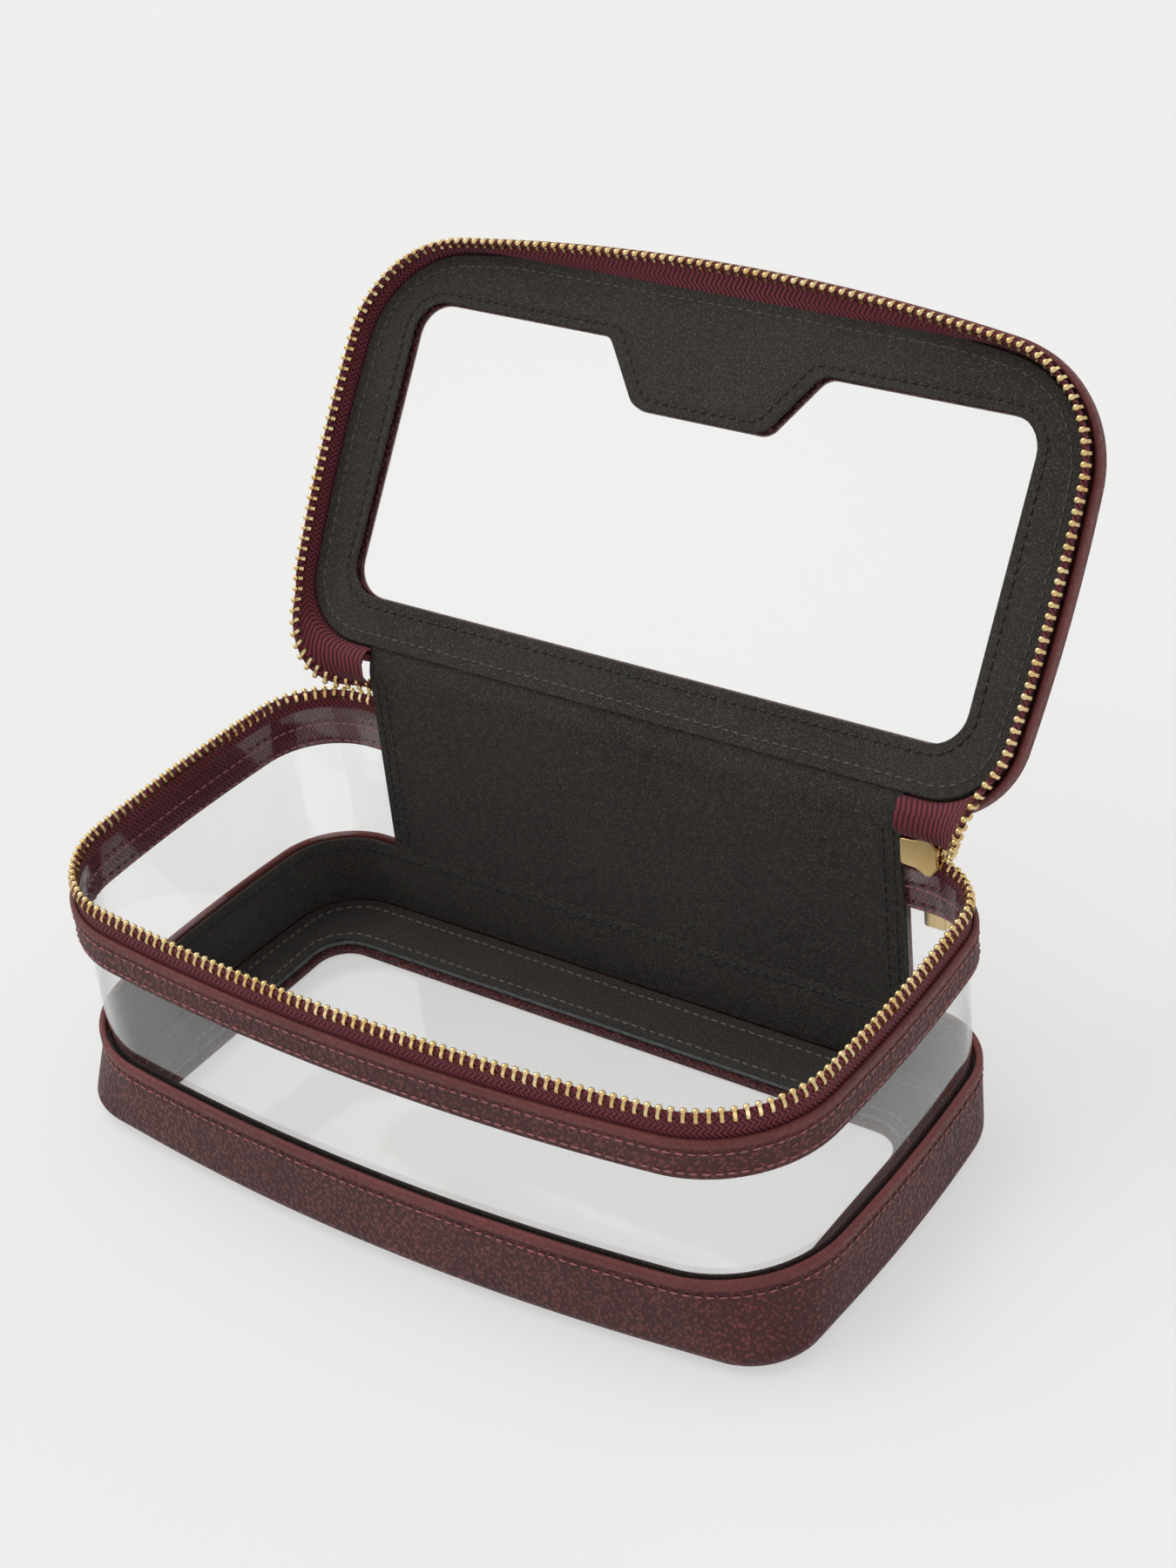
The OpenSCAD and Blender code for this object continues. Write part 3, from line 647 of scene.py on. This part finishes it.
# ---------------------------------------------------------------- the case: skirt
def skirt_section():
    """Section of the skirt's leather: round the lower edge, up to the fold, and down inside."""
    r = FOOT_EDGE_R
    outside = [(0.0, z) for z in (*FOOT_LEVELS, FOOT_TOP)]
    drawn_in = [(-0.05, FOLD_Z - 2.2), (-0.3, FOLD_Z - 0.6), (-SEAM_PULL, FOLD_Z)]
    inside = [(-LEATHER, z) for z in (FOLD_Z, FOOT_TOP, FOOT_LEVELS[3])]
    return ([(-EDGE_R, 0.0)] + arc(-r, r, r, 270, 360, 12) + outside + drawn_in
            + inside + arc(-r, r, r - LEATHER, 360, 270, 8) + [(-EDGE_R, LEATHER)])


def footed(p, s, outward):
    """Eases the skirt's front corners out towards its foot."""
    d = squarer(s, min(1.0, max(0.0, (FOOT_TOP - p[2]) / (FOOT_TOP - FOOT_FULL))))
    return (p[0] + outward[0] * d, p[1] + outward[1] * d, p[2])


def rolled(z0, z1, up=True):
    """Section of a binding with its fold at the upper or the lower end."""
    r = (LEATHER + PROUD) / 2
    x = PROUD - r
    if up:
        return [(x - r, z0), (x + r - 0.25, z0), (x + r, z0 + 0.35)] + arc(x, z1 - r, r, 0, 180, 10)
    return [(x + r, z1), (x - r, z1)] + arc(x, z0 + r, r, 180, 360, 10)


def bead(z, flat):
    """Section of the cord on a tape's edge, open in direction flat, where the tape leaves it."""
    g = math.degrees(math.asin(TAPE / 2 / CORD_R))
    return arc(-TAPE_MID, z, CORD_R, flat + g, flat + 360 - g, 10)


o = sweep("skirt_leather_sewn", stations(-HALF, HALF, 1.5)[:-1], skirt_section(), GRAIN, "case",
          closed=True, smooth=50, move=footed)
stand_for("skirt_leather")
o = sweep("skirt_binding_folded", RING, rolled(FOLD_Z, SKIRT_TOP), SMOOTH, "case", closed=True, smooth=50)
stand_for("skirt_binding")
section = rounded_strip(WALL_IN, LINING_IN, BASE_INSIDE, CLOTH_TOP, 0.35)
o = sweep("skirt_lining_cloth", RING, section, TWILL, "case", closed=True)
stand_for("skirt_lining")

# ---------------------------------------------------------------- the case: clear wall, rim and tape
section = rounded_strip(LINING_IN, VINYL_IN + WALL_EASE, EDGE_R - WALL_BELOW, WALL_TOP, 0.25, 2)
o = sweep("clear_wall_sheet", ring_to(PANEL_W / 2 - TUCK), section, CLEAR_WALL, "case")
stand_for("clear_wall")

# The band's edges are eased, and its upper end is where the binding begins
BAND_END, RIM_TOP = BAND_TOP - 0.3, BAND_TOP + BIND_H - 0.7
section = [(-LEATHER, BAND_Z), (-0.3, BAND_Z), (0, BAND_Z + 0.5), (0.0, BAND_Z + 3),
           (0.0, BAND_TOP - 3), (0.0, BAND_TOP - 1.5), (-0.25, BAND_END), (-LEATHER, BAND_END)]
o = sweep("rim_band_sewn", ring_to(PANEL_W / 2), section, GRAIN, "case")
stand_for("rim_band")
o = sweep("rim_binding_folded", ring_to(PANEL_W / 2), rolled(BAND_END, RIM_TOP), SMOOTH, "case", smooth=50)
stand_for("rim_binding")

section = bead(CORD_CASE, -90) + [(-VINYL_IN, BAND_Z + 1), (-LEATHER, BAND_Z + 1)]
o = sweep("zip_tape_case_woven", ring_to(PANEL_W / 2), section, WEAVE, "case")
stand_for("zip_tape_case")

# ---------------------------------------------------------------- the case: base
o = plate("base_leather_frame", outline(-EDGE_R, foot=1.0), base_opening(0), 0, LEATHER, GRAIN, "case")
stand_for("base_leather")
o = plate("base_lining_cloth", outline(-WALL_IN - CLOTH_CLEAR), base_opening(BASE_CLOTH_BACK), BASE_LINING,
          LINING, TWILL, "case")
stand_for("base_lining")


# ---------------------------------------------------------------- the lid: lining, binding and tape
def lid_lining_line(d):
    """The lid lining's edge, in by d: straight along the front, where the rim bows out past it."""
    limit = d + LINING_FRONT - CASE_D / 2
    return [(x, max(y, limit)) for x, y in outline(-d)]


def leaning(d, z):
    """The lid's tape leans in on its way up from the cord."""
    return (-d - TAPE_LEAN * max(0.0, z - CORD_LID) / (LID_LEATHER - CORD_LID), z)


def tape_stations(s0, s1, step=2.0):
    """Stations at even distances along the tape's middle line, each on the outer face."""
    n = max(2, int(math.ceil(abs(s1 - s0) / step)))
    out = []
    for k in range(n + 1):
        s = s0 + (s1 - s0) * k / n
        x, y, a = place(s, -TAPE_MID)
        c, d = heading(a)
        out.append((x + TAPE_MID * c, y + TAPE_MID * d, a, s))
    return out


def to_lining(p, s, outward):
    """Carries the tape's root in to the lining's straight front edge."""
    x, y, z = p
    t = min(1.0, max(0.0, (z - CORD_LID - TAPE_FREE) / (LID_LINING - SEWN_BELOW - CORD_LID - TAPE_FREE)))
    limit = LID_LINING_IN + LINING_FRONT + SEWN_IN - CASE_D / 2
    return (x, max(y, y * (1 - t) + limit * t) if y < 0 else y, z)


o = plate("lid_lining_cloth", lid_lining_line(LID_LINING_IN), lid_opening(LID_CLOTH_BACK), LID_LINING,
          LINING, TWILL, "lid", lid=True)
stand_for("lid_lining")
# The binding stops just short of the back panel on both sides
o = sweep("lid_binding_folded", ring_to(PANEL_W / 2 + BINDING_CLEAR), rolled(LID_EDGE, LID_LEATHER, up=False),
          SMOOTH, "lid", lid=True, smooth=50)
stand_for("lid_binding")

# The lid's tape bends from a whole number of teeth on
flex_start = PITCH * round((sum(arc_len(i, -TAPE_MID) for i in range(3)) + FLEX_IN) / PITCH)
heights = [CORD_LID + TAPE_LOW, LID_LINING, LID_LEATHER]
section = bead(CORD_LID, 90) + [leaning(TAPE_OUT, z) for z in heights]
section += [leaning(VINYL_IN, z) for z in heights[::-1]]
o = sweep("zip_tape_lid_woven", tape_stations(-flex_start, flex_start), section, WEAVE, "lid", lid=True,
          move=to_lining)
stand_for("zip_tape_lid")

# ---------------------------------------------------------------- the lid's leather
# The outline starts and ends at the middle of the back, so the notch for the hinge closes it
panel_x, notch_y = PANEL_W / 2, HINGE_Y - NOTCH
round_front = [(x, y) for x, y in outline(0) if abs(x) > panel_x or y <= 0]
edge = [(-panel_x, CASE_D / 2), *round_front, (panel_x, CASE_D / 2), (panel_x, notch_y), (-panel_x, notch_y)]
o = plate("lid_leather_frame", edge, lid_opening(0), LID_LEATHER, LEATHER, GRAIN, "lid", lid=True, bevel=0.5)
stand_for("lid_leather")

# ---------------------------------------------------------------- the back panel and the hinge
along_panel = [PANEL_W * k / PANEL_STEPS for k in range(PANEL_STEPS + 1)]
path = [(-PANEL_W / 2 + s, CASE_D / 2, 90, s) for s in along_panel]
section = rounded_strip(LEATHER, 0, SKIRT_TOP, PANEL_TOP, 0.3)
o = sweep("back_panel_leather_sewn", path, section, GRAIN, "case")
stand_for("back_panel_leather")
section = rounded_strip(WALL_IN, LINING_IN, CLOTH_TOP, PANEL_TOP, 0.3)
o = sweep("back_panel_lining_cloth", path, section, TWILL, "case")
stand_for("back_panel_lining")


def fold_strip(name, node, from_y, t, lid_end, material):
    """A strip of thickness t that bends from the panel's top at from_y to a point of the lid, which is
    given from the hinge's axis, as closed. Its middle line is a cubic curve."""
    axis = np.array([HINGE_Y, HINGE_Z])
    start = np.array([from_y, PANEL_TOP])
    end = np.array(turned((0, HINGE_Y + lid_end[0], HINGE_Z + lid_end[1]))[1:])
    end_dir = np.array(turned((0, HINGE_Y - 1, HINGE_Z))[1:]) - axis
    pull = np.linalg.norm(end - start) * 0.3
    steps = 14
    b1, b2 = start + np.array([0, pull]), end - end_dir * pull
    line = [(1 - s) ** 3 * start + 3 * (1 - s) ** 2 * s * b1 + 3 * (1 - s) * s * s * b2 + s ** 3 * end
            for s in [i / steps for i in range(steps + 1)]]
    ring = []
    for sign in (-1, 1):
        side = []
        for i, p in enumerate(line):
            d = np.array([0, 1.0]) if i == 0 else (end_dir if i == steps else line[i + 1] - line[i - 1])
            across = np.array([d[1], -d[0]]) / np.linalg.norm(d)
            side.append(p + across * sign * t / 2)
        ring += side if sign < 0 else side[::-1]
    pts = [(-PANEL_W / 2 + s, p[0], p[1]) for s in along_panel for p in ring]
    uv = [(-PANEL_W / 2 + s, j * 0.4) for s in along_panel for j in range(len(ring))]
    o = make(name, pts, tube_faces(PANEL_STEPS + 1, len(ring)), material, None, uv=uv)
    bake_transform(o)
    stand_for(node)


fold_strip("hinge_fold_leather", "hinge_fold", CASE_D / 2 - LEATHER / 2, LEATHER, (-NOTCH, 0),
           GRAIN)
# The hinge's lining ends just above the lid's lining
lining_end = (CASE_D / 2 - LID_LINING_IN - CLOTH_LAP - HINGE_Y,
              LID_LINING + LINING * 1.5 + CLOTH_EASE - HINGE_Z)
fold_strip("hinge_lining_cloth", "hinge_lining", CASE_D / 2 - WALL_IN + LINING / 2, LINING, lining_end,
           TWILL)

# ---------------------------------------------------------------- the zip's bending ends
# Distances at which the lid's tape has come all the way down to the case's
MEET_RIGHT = at_x(SLIDER_X + SLIDER_L / 2, -TAPE_MID)
MEET_LEFT = at_x(PANEL_W / 2 + 2, -TAPE_MID)


def smooth_step(t):
    t = min(1.0, max(0.0, t))
    return t * t * (3 - 2 * t)


def lid_share(s, z, meet):
    """The share of the lid's turn that a point of the bending tape takes."""
    return 1 - smooth_step((s - flex_start) / (meet - flex_start)) * smooth_step(
        (LID_EDGE - z) / (LID_EDGE - CORD_LID - CORD_R))


def own_blend(o):
    """Bakes the object's transform into its mesh."""
    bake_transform(o)


def tape_end(name, side, meet):
    """The stretch of the lid's tape that bends down to the case, on one side of the hinge."""
    heights = [CORD_LID + 0.9 + (LID_EDGE - CORD_LID - 0.9) * k / 5 for k in range(5)]
    heights += [LID_EDGE, LID_EDGE + 1.2, LID_LEATHER]
    section = bead(CORD_LID, 90) + [leaning(TAPE_OUT, z) for z in heights]
    section += [leaning(VINYL_IN, z) for z in heights[::-1]]
    path = tape_stations(flex_start, at_x(PANEL_W / 2, -TAPE_MID), END_STEP)
    pts, uv, weights = [], [], []
    for x, y, a, s in path:
        c, d = heading(a)
        for out, z in section:
            share = lid_share(s, z, meet)
            pts.append(turned((side * (x + out * c), y + out * d, z), share))
            uv.append((s, z))
            weights.append(1 - share)
    o = make(name, pts, tube_faces(len(path), len(section)), WEAVE, None, uv=uv)
    own_blend(o)
    return o


o = tape_end("zip_tape_end_right", 1, MEET_RIGHT)
tape_end("zip_tape_end_left", -1, MEET_LEFT)
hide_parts("zip_tape_hinge_ends")


# ---------------------------------------------------------------- the zip's teeth
def add_ball(bm, matrix, u, v):
    bmesh.ops.create_uvsphere(bm, u_segments=u, v_segments=v, radius=1.0, matrix=matrix)


def template(bm):
    """Points and faces of a small mesh that is copied many times."""
    v = np.array([x.co for x in bm.verts])
    bm.verts.index_update()
    f = [[x.index for x in face.verts] for face in bm.faces]
    bm.free()
    return v, f


def template_tooth():
    """One tooth: legs crimped on the cord, a shank and a round head.
    x goes through the tape, y to the tooth's tip and z along the row."""
    bm = bmesh.new()
    t, w, leg = TOOTH_T / 2 - 0.2, 0.38, -1.5       # half thickness, half width and the legs' ends
    half = [(TAPE / 2, leg), (t - 0.35, leg), (t - 0.1, -1.2), (t, -0.2), (0.62, 0.5), (0.36, 1.0)]
    prof = half + [(-x, y) for x, y in half[::-1]] + [(-TAPE / 2, 0.2), (TAPE / 2, 0.2)]
    a = [bm.verts.new((x, y, -w)) for x, y in prof]
    b = [bm.verts.new((x, y, w)) for x, y in prof]
    bm.faces.new(a)
    bm.faces.new(b[::-1])
    for i in range(len(prof)):
        j = (i + 1) % len(prof)
        bm.faces.new((a[i], b[i], b[j], a[j]))
    sharp = [e for e in bm.edges if e.calc_face_angle(0) > 1.0]
    bmesh.ops.bevel(bm, geom=sharp, offset=0.12, segments=2, affect="EDGES")
    add_ball(bm, Matrix.Translation((0, 1.1, 0)) @ Matrix.Diagonal((0.76, 0.66, 0.76, 1)), 12, 8)
    bmesh.ops.recalc_face_normals(bm, faces=bm.faces)
    return template(bm)


def scatter(name, shape, frames, material, body=None):
    """One mesh of many copies of a shape, each turned by its frame's share of the lid's turn.
    A frame is an origin and three axes in mm, as closed, then a share of the lid's turn."""
    v, f = shape
    pts, faces, weights = [], [], []
    for origin, ex, ey, ez, share in frames:
        p = np.array(origin) + v @ np.array([ex, ey, ez])
        base = len(pts)
        pts += [turned(q, share) if share else tuple(q) for q in p]
        faces += [tuple(i + base for i in g) for g in f]
        weights += [1 - share] * len(v)
    o = make(name, pts, faces, material, body, smooth=45)
    if body is None:
        own_blend(o)
    return o


def tooth_frame(s, cord_z, up, share=0.0, side=1):
    """Frame of a tooth at s on the right, or at the same place on the left."""
    x, y, a = place(s, -TAPE_MID)
    c, d = heading(a)
    return ((side * x, y, cord_z), (side * c, d, 0), (0, 0, 1 if up else -1), (-side * d, c, 0), share)


def flexing_teeth(meet, side):
    """Teeth spaced evenly along the bent tape."""
    walk, last, run = [], None, 0.0
    s = (LID_TEETH - 0.5) * PITCH
    while s < meet - 0.2:
        share = lid_share(s, CORD_LID + CORD_R - 1, meet)
        x, y, _ = place(s, -TAPE_MID)
        p = np.array(turned((x, y, CORD_LID), share))
        if last is not None:
            run += np.linalg.norm(p - last)
        last = p
        walk.append((s, share, run))
        s += 0.1
    count = int(round(run / (PITCH * 1.08)))
    out = []
    for k in range(1, count + 1):
        target = run * k / count
        s, share, _ = min(walk, key=lambda q: abs(q[2] - target))
        out.append(tooth_frame(s, CORD_LID, False, max(share, 1e-4), side))
    return out


TOOTH = template_tooth()
LID_TEETH = round(flex_start / PITCH)       # on each side of the middle of the front
right_teeth, left_teeth = int((MEET_RIGHT - 0.3) // PITCH), int(MEET_LEFT // PITCH)

row = [tooth_frame(k * PITCH, CORD_CASE, True) for k in range(right_teeth + 1)]
row += [tooth_frame(k * PITCH, CORD_CASE, True, side=-1) for k in range(1, left_teeth + 1)]
o = scatter("zip_teeth_case_row", TOOTH, row, GOLD, "case")
stand_for("zip_teeth_case")

row = [tooth_frame((k + 0.5) * PITCH, CORD_LID, False, 1.0, side)
       for k in range(LID_TEETH) for side in (1, -1)]
o = scatter("zip_teeth_lid_row", TOOTH, row, GOLD, "lid")
stand_for("zip_teeth_lid")

o = scatter("zip_teeth_flexing", TOOTH, flexing_teeth(MEET_RIGHT, 1) + flexing_teeth(MEET_LEFT, -1), GOLD)
stand_for("zip_teeth_hinge_ends")


# ---------------------------------------------------------------- slider and pull
def eased(node, name, width, body):
    """A metal CAD node with its edges eased by a width in mm."""
    bm = bmesh.new()
    bm.from_mesh(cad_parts[node].data)
    bmesh.ops.remove_doubles(bm, verts=bm.verts, dist=1e-7)
    bmesh.ops.dissolve_limit(bm, angle_limit=math.radians(1), verts=bm.verts, edges=bm.edges)
    sharp = [e for e in bm.edges if len(e.link_faces) == 2 and e.calc_face_angle(0) > math.radians(35)]
    bmesh.ops.bevel(bm, geom=sharp, offset=width * MM, segments=3, affect="EDGES", clamp_overlap=True)
    me = bpy.data.meshes.new(name)
    bm.to_mesh(me)
    bm.free()
    o = bpy.data.objects.new(name, me)
    bpy.context.scene.collection.objects.link(o)
    shade(o, 45)
    o.data.materials.append(GOLD)
    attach(o, body)
    stand_for(node)


eased("slider_body", "slider_body_cast", 0.28, "slider")
eased("slider_crown", "slider_crown_cast", 0.15, "slider")
eased("pull_link", "pull_link_ring", 0.25, "link")
eased("pull_tab", "pull_tab_bar", 0.35, "tab")


# ---------------------------------------------------------------- stitching
def template_stitch(radius):
    bm = bmesh.new()
    add_ball(bm, Matrix.Diagonal((radius, radius, STITCH_L / 2, 1)), 8, 6)
    return template(bm)


STITCH = template_stitch(STITCH_R)
BOLD_STITCH = template_stitch(BOLD_R)


def sew(name, frames, body, material):
    """One row of stitches. Black thread is bolder, to show on the black lining."""
    o = scatter(name, BOLD_STITCH if material == BLACK_THREAD else STITCH, frames, material, body)


def stitch_wall(name, end, off, z, material):
    """A row on an upright sheet of the case, set off by off from the outline, from -end to end."""
    n = int(2 * end / STITCH_PITCH)
    frames = []
    for k in range(n + 1):
        x, y, a = place(-end + 2 * end * (k + 0.5) / (n + 1))
        c, d = heading(a)
        frames.append(((x + off * c, y + off * d, z), (c, d, 0), (0, 0, 1), (-d, c, 0), 0.0))
    sew(name, frames, "case", material)


def along(points):
    """Evenly spaced points and directions round a closed line."""
    pts = [np.array(p, float) for p in points]
    pts = pts + [pts[0]]
    run = [0.0]
    for a, b in zip(pts, pts[1:]):
        run.append(run[-1] + float(np.linalg.norm(b - a)))
    n = max(1, int(run[-1] / STITCH_PITCH))
    out, i = [], 0
    for k in range(n):
        t = run[-1] * (k + 0.5) / n
        while i < len(run) - 2 and run[i + 1] < t:
            i += 1
        length = max(1e-9, run[i + 1] - run[i])
        f = (t - run[i]) / length
        out.append((pts[i] * (1 - f) + pts[i + 1] * f, (pts[i + 1] - pts[i]) / length))
    return out


def stitch_flat(name, points, z, body, material):
    """A row round a closed line, on a flat sheet of the case or of the lid."""
    share = 1.0 if body == "lid" else 0.0
    frames = [((x, y, z), (dy, -dx, 0), (0, 0, 1), (dx, dy, 0), share)
              for (x, y), (dx, dy) in along(points)]
    sew(name, frames, body, material)


def stitch_up(name, x, y, material):
    """An upright row on the back panel."""
    z0, z1 = SKIRT_TOP + 1, PANEL_TOP - 1
    n = int((z1 - z0) / STITCH_PITCH)
    heights = [z0 + (z1 - z0) * (k + 0.5) / n for k in range(n)]
    sew(name, [((x, y, z), (0, 1, 0), (1, 0, 0), (0, 0, 1), 0.0) for z in heights], "case", material)


panel_end = at_x(PANEL_W / 2)
stitch_wall("skirt_stitches", HALF, ON_SHEET, FOLD_Z - SKIRT_SEAM, THREAD)
stitch_wall("skirt_lining_stitches", HALF, -WALL_IN - ON_SHEET, SKIRT_TOP - SKIRT_LINING_SEAM, BLACK_THREAD)
for i, z in enumerate((BAND_Z + BAND_LOW_SEAM, BAND_TOP - BAND_HIGH_SEAM)):
    stitch_wall(f"band_stitches_{i}", panel_end, ON_SHEET, z, THREAD)
    stitch_wall(f"vinyl_stitches_{i}", panel_end, -LINING_IN - ON_SHEET, z, THREAD)
for i, g in enumerate(WINDOW_SEAMS):
    stitch_flat(f"base_leather_stitches_{i}", base_opening(g), BASE_STITCH_Z, "case", THREAD)
    stitch_flat(f"lid_leather_stitches_{i}", lid_opening(g), LID_TOP, "lid", THREAD)
stitch_flat("base_window_stitches", base_opening(BASE_WINDOW_SEAM), BASE_INSIDE, "case", GREY_THREAD)
stitch_flat("base_edge_stitches", outline(-WALL_IN - BASE_EDGE_SEAM), BASE_INSIDE, "case", GREY_THREAD)
stitch_flat("lid_window_stitches", lid_opening(LID_WINDOW_SEAM), LID_LINING, "lid", BLACK_THREAD)
lining_seam = lid_lining_line(LID_LINING_IN + LID_LINING_SEAM)
stitch_flat("lid_edge_stitches", lining_seam, LID_LINING, "lid", DULL_THREAD)
stitch_flat("lid_outer_stitches", outline(-LID_EDGE_SEAM), LID_TOP, "lid", THREAD)
for tag, side in (("left", -1), ("right", 1)):
    for i, g in enumerate(PANEL_SEAMS):
        x = side * (PANEL_W / 2 - g)
        stitch_up(f"panel_stitches_{tag}_{i}", x, CASE_D / 2, THREAD)
        stitch_up(f"panel_lining_stitches_{tag}_{i}", x, CASE_D / 2 - WALL_IN, BLACK_THREAD)

# ---------------------------------------------------------------- camera
# Fitted to the photograph: focal length and picture height in its pixels, then place in m
FOCAL_PX, PICTURE_PX, SENSOR = 3383, 1800, 36
CAMERA_X, CAMERA_Y, CAMERA_Z = 0.34635, -0.40962, 0.43067
CAMERA_LOOK, CAMERA_UP = (-0.51645, 0.66697, -0.53706), (-0.2394, 0.48971, 0.83838)

cam_data = bpy.data.cameras.new("camera")
cam = bpy.data.objects.new("camera", cam_data)
bpy.context.scene.collection.objects.link(cam)
bpy.context.scene.camera = cam
cam_data.lens = FOCAL_PX / PICTURE_PX * SENSOR
cam_data.sensor_width = SENSOR
cam_data.clip_start = 0.01
look = Vector(CAMERA_LOOK).normalized()
right = look.cross(Vector(CAMERA_UP)).normalized()
rows = Matrix((right, right.cross(look), -look))
at = Matrix.Translation(Vector((CAMERA_X, CAMERA_Y + CASE_Y * MM, CAMERA_Z)))
cam.matrix_world = at @ rows.transposed().to_4x4()

# ---------------------------------------------------------------- floor
FLOOR_W, FLOOR_DROP, FLOOR_EVEN = 6, 0.0002, 0.6


def floor_material():
    """Matt and pale. A share of what is seen of it is its own even colour, so that shadows stay light."""
    n = Nodes("floor")
    n.surface(srgb("#dfdfdd"), 0.9, specular=0.0)
    ray = n.add("ShaderNodeLightPath")
    seen = n.math("ADD", ray.outputs["Is Camera Ray"], ray.outputs["Is Glossy Ray"])
    seen = n.math("ADD", seen, ray.outputs["Is Transmission Ray"], clamp=True)
    even = n.add("ShaderNodeEmission")
    even.inputs[0].default_value = srgb("#f0f0f0")
    both = n.add("ShaderNodeMixShader")
    n.link(n.math("MULTIPLY", seen, FLOOR_EVEN), both.inputs[0])
    n.link(n.shader.outputs[0], both.inputs[1])
    n.link(even.outputs[0], both.inputs[2])
    n.link(both.outputs[0], n.out.inputs[0])
    return n.material


bpy.ops.mesh.primitive_plane_add(size=FLOOR_W, location=(0, 0, -FLOOR_DROP))
floor = bpy.context.object
floor.name = "floor"
floor.data.materials.append(floor_material())

# ---------------------------------------------------------------- light
# An even pale studio with soft-edged bright panels: direction, inner and outer half-angle, strength
BASE_LIGHT, LIGHT_COLOUR = 0.70, (1.0, 0.995, 0.985, 1)
PANELS = [((-0.55, -0.1, 0.83), 12, 34, 2.6),
          ((-0.516, -0.732, 0.443), 2, 13, 0.45),
          ((0.75, -0.45, 0.5), 8, 22, 0.7),
          ((0.1, 0.85, 0.52), 8, 24, 0.6)]

world = bpy.data.worlds.new("world")
bpy.context.scene.world = world
world.use_nodes = True
sky = world.node_tree
background = sky.nodes["Background"]
background.inputs[0].default_value = LIGHT_COLOUR
direction = add_node(sky, "ShaderNodeTexCoord").outputs["Generated"]
total = None
for towards, inner, outer, strength in PANELS:
    dot = add_node(sky, "ShaderNodeVectorMath", operation="DOT_PRODUCT")
    sky.links.new(direction, dot.inputs[0])
    dot.inputs[1].default_value = Vector(towards).normalized()
    glow = add_node(sky, "ShaderNodeMapRange", interpolation_type="SMOOTHSTEP")
    sky.links.new(dot.outputs["Value"], glow.inputs[0])
    for i, v in enumerate((heading(outer)[0], heading(inner)[0], 0.0, strength)):
        glow.inputs[i + 1].default_value = v
    add = add_node(sky, "ShaderNodeMath", operation="ADD")
    sky.links.new(glow.outputs[0], add.inputs[0])
    if total is None:
        add.inputs[1].default_value = BASE_LIGHT
    else:
        sky.links.new(total, add.inputs[1])
    total = add.outputs[0]
sky.links.new(total, background.inputs[1])

bpy.context.scene.view_settings.view_transform = "Standard"

bpy.context.view_layer.update()
